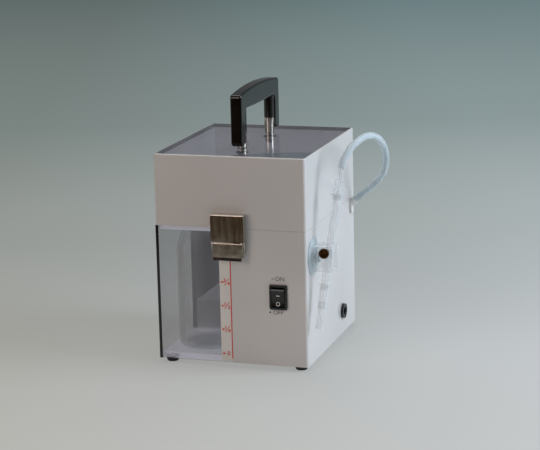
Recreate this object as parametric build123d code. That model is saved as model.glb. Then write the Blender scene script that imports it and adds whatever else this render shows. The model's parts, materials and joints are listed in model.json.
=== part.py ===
from build123d import *
import math
import os

# Desktop vacuum aspirator: a sheet-built case with a lift-up lid, a smoked window
# in front of the reservoir jar, and a clear handpiece on a soft hose.
# Millimetres, +Z up, -Y towards the user, origin on the bench under the case's centre.

# Case and sheets
CASE_W = 130.0
CASE_D = 150.0
FOOT_H = 4.0
BODY_H = 114.0
LID_H = 60.0
WALL = 3.0
CORNER_R = 2.5
EDGE_R = 0.8
SEAM = 0.2
BASE_T = 5.0
DECK_T = 3.6
SHEET_GAP = 0.05

# Inner walls
PARTITION_T = 3.0
PARTITION_X = -2.5
DIVIDER_Y = 1.5
DIVIDER_T = 3.0
SEAL_W = 3.0

# Feet
FOOT_TOP_D = 12.0
FOOT_LOW_D = 9.0
FOOT_IN = 8.5
FOOT_RECESS_D = 6.4
FOOT_RECESS_H = 1.6

# Screws
SMALL_SHANK_R = 1.2
SMALL_HEAD_R = 2.2
SMALL_HEAD_H = 0.9

# Lid top and handle
TOP_T = 3.0
RIM_W = 1.4
TOP_GAP = 0.1
POST_PITCH = 75.6
POST_D = 8.4
POST_SHOW = 13.8
POST_STUD_D = 4.0
POST_STUD_UP = 12.0
BOSS_WALL = 0.9
GRIP_LEN = 104.0
GRIP_W = 9.8
LEG_T = 11.4
LEG_GAP = 3.0
GRIP_END_H = 46.1
GRIP_CROWN = 3.6
GRIP_UNDER_H = 33.4
GRIP_UNDER_RISE = 0.8
GRIP_R = 2.4
HANDLE_WASHER_D = 11.0
HANDLE_WASHER_T = 1.0
HANDLE_NUT_AF = 7.0
HANDLE_NUT_T = 3.2

# Hinges at the back
HINGE_X = 38.0
HINGE_W = 24.0
HINGE_T = 1.0
HINGE_LEAF = 17.0
HINGE_OFF = 2.4
KNUCKLE_R = 2.1
HINGE_PIN_R = 1.0
RUN_GAP = 0.05
KNUCKLE_GAP = 0.3
LEAF_GAP = 2.8

# Draw latch at the front
LATCH_T = 0.8
LATCH_OUT = 7.5
HOOK_HALF = 14.2
LEVER_HALF = 13.0
EAR_HALF = 11.8
LATCH_CLEAR = 0.2
HOOK_TOP_UP = 12.8
HOOK_LOW_DOWN = 9.7
LEVER_TOP_DOWN = 10.7
LEVER_LOW_DOWN = 25.2
LEVER_LIP = 1.6
PIVOT_DOWN = 11.5
PIVOT_OUT = 3.2
LINK_DROP = 6.0
LINK_IN = 0.3
LATCH_PIN_R = 1.0
LATCH_PLATE_TOP = 5.0
LATCH_PLATE_LOW = 24.0
EAR_R = 2.6
CATCH_HALF = 9.0
CATCH_LOW = 2.5
CATCH_TOP = 10.3
CATCH_OUT = 5.3
CATCH_LIP = 1.0
HOOK_LIP_H = 2.3
HOOK_LIP_IN = 4.2

# Rocker switch
SWITCH_X = 40.5
SWITCH_Z = 62.6
BEZEL_W = 15.0
BEZEL_H = 21.0
BEZEL_T = 2.0
BEZEL_RIM = 1.9
SWITCH_CUT_W = 13.2
SWITCH_CUT_H = 19.2
SWITCH_DEEP = 13.0
ROCKER_W = 10.8
ROCKER_H = 16.4
ROCKER_TILT = 7.0
ROCKER_ARC_R = 26.0
ROCKER_PIVOT_IN = 2.0
ROCKER_GAP = 0.35

# Power jack on the right wall
JACK_Y = 31.6
JACK_Z = 23.9
JACK_HOLE_R = 4.7
JACK_NUT_R = 6.5
JACK_NUT_T = 2.4
JACK_LONG = 11.0
JACK_BORE_R = 3.5
JACK_BORE_DEEP = 9.0
JACK_PIN_R = 1.0

# Hose port on the right wall
PORT_Y = 61.5
PORT_Z = 111.2
PORT_W = 6.6
PORT_TALL = 13.2
PORT_T = 2.2
PORT_RISE = 3.0
PORT_BOSS_R = 3.1
PORT_BOSS_LONG = 3.6
PORT_UP_DEG = 42.0
PORT_STEM_R = 2.6
PORT_STEM_DROP = 2.4
PORT_NUT_AF = 8.0
PORT_NUT_T = 3.0
PORT_INNER_X = 50.0

# Soft hose, from the port to the handpiece
HOSE_R = 3.0
HOSE_FIRST_RUN = 17.0
HOSE_LAST_RUN = 14.6
HOSE_MIDDLE = [
    (98.0, 61.0, 143.5),
    (98.6, 51.0, 167.2),
    (103.2, 4.9, 186.0),
    (92.0, -23.0, 187.5),
]

# Handpiece, held by the clamp on the right wall
HAND_POINT = (79.0, -56.5, 97.0)
HAND_LEAN = (0.09, 0.27, 1.0)
HAND_TOP = 60.4
HAND_LOW = -62.3
HAND_R = 3.5
HAND_BORE_R = 2.0
NECK_R = 2.4
NECK_LONG = 9.6
NECK_BORE_R = 1.4
COLLAR_R = 4.1
COLLAR_LONG = 17.0
RING_R = 5.7
RING_T = 1.5
RING_AT = (6.6, 12.6)
SLEEVE_TOP = -25.0
SLEEVE_R = 3.9
SLEEVE_LONG = 21.0
TIP_R = 2.9

# Wall holder: suction cup, clamp and thumb screw
HOLDER_Y = -57.1
HOLDER_Z = 94.0
CUP_R = 15.5
CUP_T = 3.0
CUP_LIP_T = 0.8
CUP_HOLLOW = 1.0
STUD_R = 3.5
STUD_HEAD_R = 4.8
STUD_HEAD_T = 1.2
CLAMP_T = 2.4
CLAMP_OUT = 19.2
CLAMP_TALL = 21.0
CLAMP_GAP = 13.2
CLAMP_R = 1.2
THUMB_X = 77.4
THUMB_Z = 99.2
THUMB_HEAD_R = 4.2
THUMB_HEAD_T = 3.0
THUMB_SHANK_R = 2.0
THUMB_REACH = 3.2

# Reservoir jar
JAR_X = -32.7
JAR_Y = -38.5
JAR_R = 26.0
JAR_WALL = 2.0
JAR_HEEL_R = 5.0
JAR_SHOULDER_Z = 95.0
JAR_NECK_Z = 107.0
JAR_NECK_R = 20.5
JAR_TOP_Z = 125.0
CAP_R = 23.0
CAP_LOW_Z = 118.6
CAP_TOP_Z = 128.0
CAP_RIBS = 36
CAP_RIB_R = 0.55
CAP_BARB_R = 1.9
CAP_BARB_BORE_R = 1.1
CAP_BARB_UP = 7.0
CAP_BARB_DOWN = 9.0
INLET_X = -24.0
INLET_Y = -31.0
OUTLET_X = -41.0
OUTLET_Y = -46.0

# Inner tubes
TUBE_R = 2.6
TUBE_BORE_R = 1.6
DECK_HOLE_R = 4.6
PUMP_BARB_X = 24.0
PUMP_BARB_Y = -22.0
TUBE_BOW = 3.0
SUCTION_ROUTE = [
    (INLET_X, INLET_Y, 129.2),
    (INLET_X, INLET_Y, 166.5),
    (10.0, 22.0, 161.0),
    (PORT_INNER_X, PORT_Y, 155.0),
    (PORT_INNER_X, PORT_Y, 119.0),
]
VACUUM_ROUTE = [
    (OUTLET_X, OUTLET_Y, 129.2),
    (OUTLET_X, OUTLET_Y, 164.0),
    (PUMP_BARB_X, PUMP_BARB_Y, 160.0),
    (PUMP_BARB_X + TUBE_BOW, PUMP_BARB_Y, 118.0),
    (PUMP_BARB_X, PUMP_BARB_Y, 85.0),
    (PUMP_BARB_X, PUMP_BARB_Y, 49.5),
]

# Pump
PUMP_X = 31.0
PUMP_Y = -15.0
MOTOR_R = 12.0
MOTOR_LONG = 32.0
MOTOR_Z = 28.0
HEAD_W = 28.0
HEAD_D = 20.0
HEAD_TALL = 34.0
SADDLE_T = 2.0
SADDLE_LONG = 22.0
SADDLE_FLANGE = 8.0
SADDLE_SCREW_IN = 4.5
SADDLE_SCREW_DEEP = 4.0
GROMMET_R = 3.6
GROMMET_H = 3.0

# Battery box behind the divider
BATT_X0 = -60.0
BATT_X1 = -6.0
BATT_Y0 = 4.0
BATT_Y1 = 64.0
BATT_TALL = 24.5
BATT_WALL = 1.8
BATT_LID_T = 2.0
CELL_R = 7.1
CELL_LONG = 49.0
CELL_CAP_R = 2.6
CELL_CAP_H = 1.4
CONTACT_T = 0.5

# Vent slots in the rear wall
VENT_X = 30.0
VENT_Z = 34.0
VENT_PITCH = 6.0
VENT_COUNT = 5
VENT_W = 2.4
VENT_L = 22.0

# Worked-out places
BODY_TOP = FOOT_H + BODY_H
LID_TOP = BODY_TOP + LID_H
FRONT = -CASE_D / 2
BACK = CASE_D / 2
RIGHT = CASE_W / 2
IN_X = CASE_W / 2 - WALL
IN_Y = CASE_D / 2 - WALL
FLOOR = FOOT_H + BASE_T
DECK_Z = BODY_TOP - SEAM / 2 - DECK_T
LID_LOW = BODY_TOP + SEAM / 2
HINGE_Y = BACK + HINGE_OFF
PIVOT_Y = FRONT - PIVOT_OUT
PIVOT_Z = BODY_TOP - PIVOT_DOWN
LINK_Y = PIVOT_Y + LINK_IN
LINK_Z = PIVOT_Z - LINK_DROP
BATT_LID_Z = FLOOR + BATT_TALL - BATT_LID_T


def block(x0, x1, y0, y1, z0, z1):
    """A box between two corners."""
    return Pos((x0 + x1) / 2, (y0 + y1) / 2, (z0 + z1) / 2) * Box(x1 - x0, y1 - y0, z1 - z0)


def rod(start, direction, radius, length):
    """A round bar from a point along a direction."""
    return Solid.make_cylinder(radius, length, Plane(origin=Vector(*start), z_dir=Vector(*direction)))


def ring_bar(start, direction, radius, bore, length):
    """A round tube from a point along a direction."""
    return rod(start, direction, radius, length) - rod(start, direction, bore, length)


def pan_screw(start, direction, reach, head_r=SMALL_HEAD_R, head_h=SMALL_HEAD_H, shank_r=SMALL_SHANK_R):
    """A pan-head screw: the head stands on the start point, against the direction it is driven."""
    way = Vector(*direction)
    seat = Vector(*start)
    top = rod(tuple(seat - way * head_h), tuple(way), head_r, head_h)
    rim = top.edges().filter_by(GeomType.CIRCLE).sort_by(lambda e: (e.center() - seat).length)[-1]
    top = chamfer([rim], head_h * 0.3)
    return top + rod(tuple(seat), tuple(way), shank_r, reach)


def hex_nut(centre, direction, across, bore, height):
    """A hexagon nut from a face centre along a direction."""
    plane = Plane(origin=Vector(*centre), z_dir=Vector(*direction))
    flat = plane * (RegularPolygon(across / 2, 6, major_radius=False) - Circle(bore))
    return extrude(flat, height)


def corner_radii(points):
    """One arc per corner: as large as the two runs beside it allow."""
    found = []
    for a, b, c in zip(points, points[1:], points[2:]):
        one, two = Vector(*b) - Vector(*a), Vector(*c) - Vector(*b)
        half_turn = math.radians(one.get_angle(two)) / 2
        found.append(0.45 * min(one.length, two.length) / math.tan(half_turn))
    return found


def along(points, radius, bore=0.0):
    """A hose along straight runs joined by tangent arcs."""
    radii = corner_radii(points)
    line = FilletPolyline(*points, radius=radii)
    start = Plane(origin=line @ 0, z_dir=line % 0)
    section = Circle(radius) - Circle(bore) if bore else Circle(radius)
    hose = sweep(start * section, path=line)
    area = math.pi * (radius**2 - bore**2)
    print("hose radii", [round(r, 1) for r in radii], "length", round(line.length, 1))
    print("  volume over section times length", round(hose.volume / (area * line.length), 4))
    return hose


def group(shapes):
    """Several separate solids under one name."""
    return Compound([s for shape in shapes for s in shape.solids()])


os.makedirs("parts", exist_ok=True)
made = {}


def keep(name, shape):
    """Sets one sub-part aside; all are written at the end."""
    solids = shape.solids()
    made[name] = solids[0] if len(solids) == 1 else Compound(solids)


# Base plate with a seat for each foot
foot_spots = [(sx * (RIGHT - FOOT_IN), sy * (BACK - FOOT_IN)) for sx in (-1, 1) for sy in (-1, 1)]
base = block(-IN_X, IN_X, -IN_Y, IN_Y, FOOT_H, FLOOR)
for fx, fy in foot_spots:
    base -= rod((fx, fy, FOOT_H), (0, 0, 1), SMALL_SHANK_R, BASE_T)
for gx in (-1, 1):
    for gy in (-1, 1):
        sx = PUMP_X + gx * (MOTOR_R + SADDLE_T + SADDLE_FLANGE / 2)
        sy = PUMP_Y + HEAD_D / 2 + MOTOR_LONG / 2 + gy * (SADDLE_LONG / 2 - SADDLE_SCREW_IN)
        base -= rod((sx, sy, FLOOR - SADDLE_SCREW_DEEP), (0, 0, 1), SMALL_SHANK_R, BASE_T)
keep("base_plate", base)

# Rubber feet and the screws inside them
feet = []
foot_screws = []
for fx, fy in foot_spots:
    foot = Pos(fx, fy, 0) * Solid.make_cone(FOOT_LOW_D / 2, FOOT_TOP_D / 2, FOOT_H)
    foot = fillet(foot.edges().sort_by(Axis.Z)[0], 0.6)
    foot -= rod((fx, fy, 0), (0, 0, 1), FOOT_RECESS_D / 2, FOOT_RECESS_H)
    foot -= rod((fx, fy, 0), (0, 0, 1), SMALL_SHANK_R, FOOT_H)
    feet.append(foot)
    foot_screws.append(pan_screw((fx, fy, FOOT_RECESS_H), (0, 0, 1), FOOT_H - FOOT_RECESS_H + BASE_T - 0.6))
keep("rubber_feet", group(feet))
keep("foot_screws", group(foot_screws))

# White shell of the body: front right panel, right wall and rear wall, bonded into one
wall_top = BODY_TOP - SEAM / 2
outline = RectangleRounded(CASE_W, CASE_D, CORNER_R) - Rectangle(2 * IN_X, 2 * IN_Y)
shell = Pos(0, 0, FOOT_H) * extrude(outline, wall_top - FOOT_H)
shell -= block(-RIGHT - 1, -IN_X, FRONT - 1, BACK + 1, 0, LID_TOP)
shell -= block(-RIGHT - 1, 0, FRONT - 1, 0, 0, LID_TOP)
shell -= block(
    SWITCH_X - SWITCH_CUT_W / 2, SWITCH_X + SWITCH_CUT_W / 2, FRONT - 1, -IN_Y + 1,
    SWITCH_Z - SWITCH_CUT_H / 2, SWITCH_Z + SWITCH_CUT_H / 2,
)
shell -= rod((IN_X - 1, JACK_Y, JACK_Z), (1, 0, 0), JACK_HOLE_R, WALL + 2)
shell -= rod((IN_X - 1, PORT_Y, PORT_Z - PORT_STEM_DROP), (1, 0, 0), PORT_STEM_R, WALL + 2)
vent = extrude(Plane.XZ * SlotOverall(VENT_L, VENT_W), WALL + 2, both=True)
for k in range(VENT_COUNT):
    shell -= Pos(VENT_X, BACK - WALL / 2, VENT_Z + k * VENT_PITCH) * vent
lower_holes = [(sx * HINGE_X + dx, BODY_TOP - dz) for sx in (-1, 1) for dx, dz in ((-7.5, 10.5), (7.5, 10.5))]
for hx, hz in lower_holes:
    shell -= rod((hx, IN_Y - 1, hz), (0, 1, 0), SMALL_SHANK_R, WALL + 2)
latch_holes = [(sx * 6.0, BODY_TOP - 20.5) for sx in (-1, 1)]
shell -= rod((latch_holes[1][0], FRONT - 1, latch_holes[1][1]), (0, 1, 0), SMALL_SHANK_R, WALL + 2)
keep("case_shell", shell)

# Smoked windows: the left wall, and the left half of the front
side_window = block(-RIGHT, -IN_X, FRONT, BACK, FOOT_H, wall_top)
side_window = chamfer(side_window.edges().filter_by(Axis.Z).group_by(Axis.X)[0], 0.4)
keep("side_window", side_window)
front_window = block(-IN_X + SHEET_GAP, -SHEET_GAP, FRONT, -IN_Y, FOOT_H, wall_top)
front_window -= rod((latch_holes[0][0], FRONT - 1, latch_holes[0][1]), (0, 1, 0), SMALL_SHANK_R, WALL + 2)
keep("front_window", front_window)

# Inner sheets: partition beside the pump, divider behind the jar, deck over the pump
partition = block(PARTITION_X - PARTITION_T / 2, PARTITION_X + PARTITION_T / 2, -IN_Y, IN_Y, FLOOR, DECK_Z)
keep("chamber_partition", partition)
divider_x0 = -IN_X + SEAL_W
divider_x1 = PARTITION_X - PARTITION_T / 2
divider = block(
    divider_x0, divider_x1, DIVIDER_Y - DIVIDER_T / 2, DIVIDER_Y + DIVIDER_T / 2, FLOOR, DECK_Z
)
keep("chamber_divider", divider)
seal = block(
    -IN_X, divider_x0, DIVIDER_Y - DIVIDER_T / 2, DIVIDER_Y + DIVIDER_T / 2, FLOOR, DECK_Z
)
keep("divider_seal", seal)
deck = block(-IN_X, IN_X, -IN_Y, IN_Y, DECK_Z, wall_top)
mouth = block(-IN_X + 3.0, divider_x1 + 0.5, -IN_Y + 4.0, DIVIDER_Y - 3.0, DECK_Z - 1, BODY_TOP + 1)
mouth = fillet(mouth.edges().filter_by(Axis.Z), 6.0)
rear_mouth = block(BATT_X0 + 2.0, BATT_X1 - 2.0, BATT_Y0 + 3.0, BATT_Y1, DECK_Z - 1, BODY_TOP + 1)
rear_mouth = fillet(rear_mouth.edges().filter_by(Axis.Z), 6.0)
deck -= mouth
deck -= rear_mouth
deck -= rod((PORT_INNER_X, PORT_Y, DECK_Z - 1), (0, 0, 1), DECK_HOLE_R, DECK_T + 2)
deck -= rod((PUMP_BARB_X + TUBE_BOW - 0.6, PUMP_BARB_Y, DECK_Z - 1), (0, 0, 1), DECK_HOLE_R, DECK_T + 2)
keep("deck_plate", deck)

# Battery box, its lift-off cover, two cells and their contact strips
batt_box = block(BATT_X0, BATT_X1, BATT_Y0, BATT_Y1, FLOOR, BATT_LID_Z)
batt_box = fillet(batt_box.edges().filter_by(Axis.Z), 2.0)
batt_box -= block(
    BATT_X0 + BATT_WALL, BATT_X1 - BATT_WALL, BATT_Y0 + BATT_WALL, BATT_Y1 - BATT_WALL,
    FLOOR + BATT_WALL, BATT_LID_Z + 1,
)
keep("battery_box", batt_box)
batt_lid = block(BATT_X0, BATT_X1, BATT_Y0, BATT_Y1, BATT_LID_Z + SHEET_GAP, FLOOR + BATT_TALL)
batt_lid = fillet(batt_lid.edges().filter_by(Axis.Z), 2.0)
batt_lid = fillet(batt_lid.faces().sort_by(Axis.Z)[-1].edges(), 0.6)
lid_plug = block(
    BATT_X0 + BATT_WALL + 0.3, BATT_X1 - BATT_WALL - 0.3, BATT_Y0 + BATT_WALL + 0.3, BATT_Y1 - BATT_WALL - 0.3,
    BATT_LID_Z - 1.2, BATT_LID_Z + SHEET_GAP,
)
lid_plug -= block(
    BATT_X0 + BATT_WALL + 1.8, BATT_X1 - BATT_WALL - 1.8, BATT_Y0 + BATT_WALL + 1.8, BATT_Y1 - BATT_WALL - 1.8,
    BATT_LID_Z - 2, BATT_LID_Z + SHEET_GAP,
)
batt_lid += lid_plug
thumb_dent = Pos((BATT_X0 + BATT_X1) / 2, (BATT_Y0 + BATT_Y1) / 2, FLOOR + BATT_TALL + 7.2) * Sphere(8.0)
batt_lid -= thumb_dent
keep("battery_cover", batt_lid)
batt_mid_x = (BATT_X0 + BATT_X1) / 2
batt_mid_y = (BATT_Y0 + BATT_Y1) / 2
cell_z = FLOOR + BATT_WALL + CELL_R + 0.1
cells = []
contacts = []
for k, way in enumerate((1, -1)):
    cx = batt_mid_x + (k - 0.5) * (2 * CELL_R + 2.0)
    start_y = batt_mid_y - way * CELL_LONG / 2
    cell = rod((cx, start_y, cell_z), (0, way, 0), CELL_R, CELL_LONG)
    cell += rod((cx, start_y + way * CELL_LONG, cell_z), (0, way, 0), CELL_CAP_R, CELL_CAP_H)
    cells.append(cell)
for end in (-1, 1):
    wall_y = batt_mid_y + end * ((BATT_Y1 - BATT_Y0) / 2 - BATT_WALL)
    strip = block(
        batt_mid_x - 2 * CELL_R, batt_mid_x + 2 * CELL_R, min(wall_y, wall_y - end * CONTACT_T),
        max(wall_y, wall_y - end * CONTACT_T), FLOOR + BATT_WALL + 0.5, cell_z + 6.0,
    )
    contacts.append(strip)
keep("battery_cells", group(cells))
for k, way in enumerate((1, -1)):
    cx = batt_mid_x + (k - 0.5) * (2 * CELL_R + 2.0)
    for end in (-1, 1):
        wall_y = batt_mid_y + end * ((BATT_Y1 - BATT_Y0) / 2 - BATT_WALL - CONTACT_T)
        reach_y = batt_mid_y + end * (CELL_LONG / 2 + (CELL_CAP_H if end == way else 0.0))
        gap = abs(wall_y - reach_y)
        if end == way:
            contacts.append(rod((cx, reach_y, cell_z), (0, end, 0), 2.0, gap))
        else:
            coil = Solid.make_cone(3.4, 4.6, gap, Plane(origin=Vector(cx, reach_y, cell_z), z_dir=Vector(0, end, 0)))
            core = Solid.make_cone(2.8, 4.0, gap, Plane(origin=Vector(cx, reach_y, cell_z), z_dir=Vector(0, end, 0)))
            contacts.append(coil - core)
keep("battery_contacts", group(contacts))

# Pump: motor in a saddle, diaphragm head in front, on rubber grommets
motor_y0 = PUMP_Y + HEAD_D / 2
motor = rod((PUMP_X, motor_y0, MOTOR_Z), (0, 1, 0), MOTOR_R, MOTOR_LONG)
motor = fillet(motor.edges().filter_by(GeomType.CIRCLE), 1.2)
motor += rod((PUMP_X, motor_y0 + MOTOR_LONG, MOTOR_Z), (0, 1, 0), 4.0, 2.2)
for side in (-1, 1):
    motor += block(
        PUMP_X + side * 7.0 - 1.4, PUMP_X + side * 7.0 + 1.4, motor_y0 + MOTOR_LONG - 0.1,
        motor_y0 + MOTOR_LONG + 4.0, MOTOR_Z - 0.25, MOTOR_Z + 0.25,
    )
keep("pump_motor", motor)
head = block(
    PUMP_X - HEAD_W / 2, PUMP_X + HEAD_W / 2, PUMP_Y - HEAD_D / 2, motor_y0,
    MOTOR_Z - HEAD_W / 2, MOTOR_Z - HEAD_W / 2 + HEAD_TALL,
)
head = fillet(head.edges().filter_by(Axis.Y), 4.0)
head_top = MOTOR_Z - HEAD_W / 2 + HEAD_TALL
for bx in (PUMP_BARB_X, 2 * PUMP_X - PUMP_BARB_X):
    head += rod((bx, PUMP_BARB_Y, head_top - 0.5), (0, 0, 1), CAP_BARB_R, 9.0)
    head -= rod((bx, PUMP_BARB_Y, head_top - 6.0), (0, 0, 1), CAP_BARB_BORE_R, 20.0)
head_screws = []
for sx in (-1, 1):
    for sz in (-10.0, 14.0):
        head_screws.append(
            pan_screw((PUMP_X + sx * 10.5, PUMP_Y - HEAD_D / 2, MOTOR_Z + sz), (0, 1, 0), 6.0, 1.9, 1.2, 0.9)
        )
head_with_holes = head
for screw in head_screws:
    head_with_holes -= screw
keep("pump_head", head_with_holes)
keep("pump_head_screws", group(head_screws))
muffler_x = 2 * PUMP_X - PUMP_BARB_X
muffler = rod((muffler_x, PUMP_BARB_Y, head_top + 0.5), (0, 0, 1), 4.6, 13.0)
muffler -= rod((muffler_x, PUMP_BARB_Y, head_top), (0, 0, 1), CAP_BARB_R, 10.0)
muffler = fillet(muffler.edges().filter_by(GeomType.CIRCLE).sort_by(Axis.Z)[-1], 1.5)
keep("exhaust_muffler", muffler)
saddle_y0 = motor_y0 + (MOTOR_LONG - SADDLE_LONG) / 2
saddle_y1 = saddle_y0 + SADDLE_LONG
plate_z = FLOOR + GROMMET_H
outer_r = MOTOR_R + SADDLE_T
arch = rod((PUMP_X, saddle_y0, MOTOR_Z), (0, 1, 0), outer_r, SADDLE_LONG)
arch += block(PUMP_X - outer_r, PUMP_X + outer_r, saddle_y0, saddle_y1, plate_z, MOTOR_Z)
arch -= rod((PUMP_X, saddle_y0 - 1, MOTOR_Z), (0, 1, 0), MOTOR_R, SADDLE_LONG + 2)
arch -= block(PUMP_X - 6.0, PUMP_X + 6.0, saddle_y0 - 1, saddle_y1 + 1, plate_z - 1, MOTOR_Z - MOTOR_R + 3.0)
saddle = arch + block(
    PUMP_X - outer_r - SADDLE_FLANGE, PUMP_X - outer_r + 0.5, saddle_y0, saddle_y1, plate_z, plate_z + SADDLE_T
)
saddle += block(
    PUMP_X + outer_r - 0.5, PUMP_X + outer_r + SADDLE_FLANGE, saddle_y0, saddle_y1, plate_z, plate_z + SADDLE_T
)
grommets = []
saddle_screws = []
for sx in (-1, 1):
    for gy in (saddle_y0 + SADDLE_SCREW_IN, saddle_y1 - SADDLE_SCREW_IN):
        gx = PUMP_X + sx * (outer_r + SADDLE_FLANGE / 2)
        saddle -= rod((gx, gy, plate_z - 1), (0, 0, 1), SMALL_SHANK_R, SADDLE_T + 2)
        grommets.append(ring_bar((gx, gy, FLOOR), (0, 0, 1), GROMMET_R, SMALL_SHANK_R, GROMMET_H))
        saddle_screws.append(pan_screw((gx, gy, plate_z + SADDLE_T), (0, 0, -1), SADDLE_T + GROMMET_H + SADDLE_SCREW_DEEP))
keep("pump_saddle", saddle)
keep("pump_grommets", group(grommets))
keep("pump_screws", group(saddle_screws))

# Reservoir jar with heel, shoulder and wide neck, and its screw cap
jar_low = FLOOR + SHEET_GAP
with BuildSketch(Plane.XZ) as jar_section:
    with BuildLine():
        Polyline(
            (0, jar_low), (JAR_R, jar_low), (JAR_R, JAR_SHOULDER_Z), (JAR_NECK_R + 1.0, JAR_NECK_Z),
            (JAR_NECK_R - 1.0, JAR_NECK_Z + 4.0), (JAR_NECK_R - 1.0, JAR_TOP_Z), (0, JAR_TOP_Z), close=True,
        )
    make_face()
    fillet([v for v in jar_section.vertices() if abs(v.X - JAR_R) < 0.01 and v.Z < 20], JAR_HEEL_R)
    fillet([v for v in jar_section.vertices() if abs(v.X - JAR_R) < 0.01 and v.Z > 80], 8.0)
    fillet([v for v in jar_section.vertices() if abs(v.Z - JAR_NECK_Z) < 0.01], 3.0)
with BuildSketch(Plane.XZ) as jar_hollow:
    with BuildLine():
        Polyline(
            (0, jar_low + 3.0), (JAR_R - JAR_WALL, jar_low + 3.0), (JAR_R - JAR_WALL, JAR_SHOULDER_Z),
            (JAR_NECK_R - 1.0, JAR_NECK_Z - 1.6), (JAR_NECK_R - 3.0, JAR_NECK_Z + 3.0),
            (JAR_NECK_R - 3.0, JAR_TOP_Z + 1), (0, JAR_TOP_Z + 1), close=True,
        )
    make_face()
    fillet([v for v in jar_hollow.vertices() if abs(v.X - JAR_R + JAR_WALL) < 0.01 and v.Z < 20], 3.5)
    fillet([v for v in jar_hollow.vertices() if abs(v.X - JAR_R + JAR_WALL) < 0.01 and v.Z > 80], 7.0)
jar = revolve(jar_section.sketch, Axis.Z) - revolve(jar_hollow.sketch, Axis.Z)
keep("reservoir_jar", Pos(JAR_X, JAR_Y, 0) * jar)
cap = rod((0, 0, CAP_LOW_Z), (0, 0, 1), CAP_R, CAP_TOP_Z - CAP_LOW_Z)
cap = fillet(cap.edges().filter_by(GeomType.CIRCLE).sort_by(Axis.Z)[-1], 1.5)
cap -= rod((0, 0, CAP_LOW_Z - 1), (0, 0, 1), JAR_NECK_R - 1.0 + 0.05, JAR_TOP_Z - CAP_LOW_Z + 1)
rib = Pos(CAP_R, 0, CAP_LOW_Z) * Cylinder(CAP_RIB_R, CAP_TOP_Z - CAP_LOW_Z - 2.5, align=(Align.CENTER, Align.CENTER, Align.MIN))
for k in range(CAP_RIBS):
    cap -= Rot(0, 0, 360.0 * k / CAP_RIBS) * rib
cap = Pos(JAR_X, JAR_Y, 0) * cap
for bx, by in ((INLET_X, INLET_Y), (OUTLET_X, OUTLET_Y)):
    cap -= rod((bx, by, CAP_LOW_Z - 1), (0, 0, 1), CAP_BARB_R, CAP_TOP_Z)
keep("jar_cap", cap)
barbs = []
for bx, by in ((INLET_X, INLET_Y), (OUTLET_X, OUTLET_Y)):
    barb = rod((bx, by, JAR_TOP_Z - CAP_BARB_DOWN), (0, 0, 1), CAP_BARB_R, CAP_BARB_DOWN + 3.0 + CAP_BARB_UP)
    barb += rod((bx, by, CAP_TOP_Z), (0, 0, 1), 3.4, 1.2)
    barb -= rod((bx, by, JAR_TOP_Z - CAP_BARB_DOWN - 1), (0, 0, 1), CAP_BARB_BORE_R, 40.0)
    barbs.append(barb)
keep("cap_nipples", group(barbs))

# Inner tubes over the deck
keep("suction_tube", along(SUCTION_ROUTE, TUBE_R, CAP_BARB_R))
keep("vacuum_tube", along(VACUUM_ROUTE, TUBE_R, CAP_BARB_R))

# Hose port: oval flange, angled boss outside, threaded stem and elbow inside, nut
rise = Vector(math.cos(math.radians(PORT_UP_DEG)), 0, math.sin(math.radians(PORT_UP_DEG)))
flange = Pos(RIGHT, PORT_Y, PORT_Z) * extrude(Plane.YZ * Rot(0, 0, 90) * SlotOverall(PORT_TALL, PORT_W), PORT_T)
flange = fillet(flange.faces().sort_by(Axis.X)[-1].edges(), 0.5)
hose_start = Vector(RIGHT, PORT_Y, PORT_Z + PORT_RISE - 3.0 * math.tan(math.radians(PORT_UP_DEG)) + 1.0) + rise * 6.8
boss_low = hose_start - rise * (PORT_BOSS_LONG + 3.2)
boss = rod(tuple(boss_low), tuple(rise), PORT_BOSS_R, PORT_BOSS_LONG + 3.2)
boss -= block(RIGHT - 20, RIGHT, PORT_Y - 20, PORT_Y + 20, PORT_Z - 30, PORT_Z + 30)
stem_z = PORT_Z - PORT_STEM_DROP
port = flange + boss + rod((PORT_INNER_X, PORT_Y, stem_z), (1, 0, 0), PORT_STEM_R, RIGHT - PORT_INNER_X)
port += Pos(PORT_INNER_X, PORT_Y, stem_z) * Sphere(PORT_STEM_R)
elbow_top = BODY_TOP + 5.0
port += rod((PORT_INNER_X, PORT_Y, stem_z), (0, 0, 1), PORT_STEM_R, 3.0)
port += rod((PORT_INNER_X, PORT_Y, stem_z), (0, 0, 1), CAP_BARB_R, elbow_top - stem_z)
keep("hose_port", port)
keep("port_nut", hex_nut((IN_X, PORT_Y, stem_z), (-1, 0, 0), PORT_NUT_AF, PORT_STEM_R, PORT_NUT_T))

# Handpiece along its lean: collar with two rings, clear barrel, sleeve, tip
lean = Vector(*HAND_LEAN).normalized()
hand_mid = Vector(*HAND_POINT)


def on_hand(s):
    """A point on the handpiece's axis."""
    return tuple(hand_mid + lean * s)


hand_top = HAND_TOP
hose_route = [tuple(hose_start), tuple(hose_start + rise * HOSE_FIRST_RUN)] + HOSE_MIDDLE
neck_top = hand_top + NECK_LONG
hose_route += [on_hand(neck_top + HOSE_LAST_RUN), on_hand(neck_top)]
keep("hose", along(hose_route, HOSE_R))
collar_low = hand_top - COLLAR_LONG
collar = rod(on_hand(collar_low), tuple(lean), COLLAR_R, COLLAR_LONG)
collar += rod(on_hand(hand_top), tuple(lean), NECK_R, NECK_LONG)
for at in RING_AT:
    ring = rod(on_hand(hand_top - at - RING_T / 2), tuple(lean), RING_R, RING_T)
    collar += chamfer(ring.edges().filter_by(GeomType.CIRCLE), 0.3)
collar -= rod(on_hand(collar_low - 1), tuple(lean), NECK_BORE_R, COLLAR_LONG + NECK_LONG + 2)
collar -= rod(on_hand(collar_low - 1), tuple(lean), HAND_R, 6.0)
keep("handpiece_collar", collar)
barrel_top = collar_low + 5.0
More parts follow.
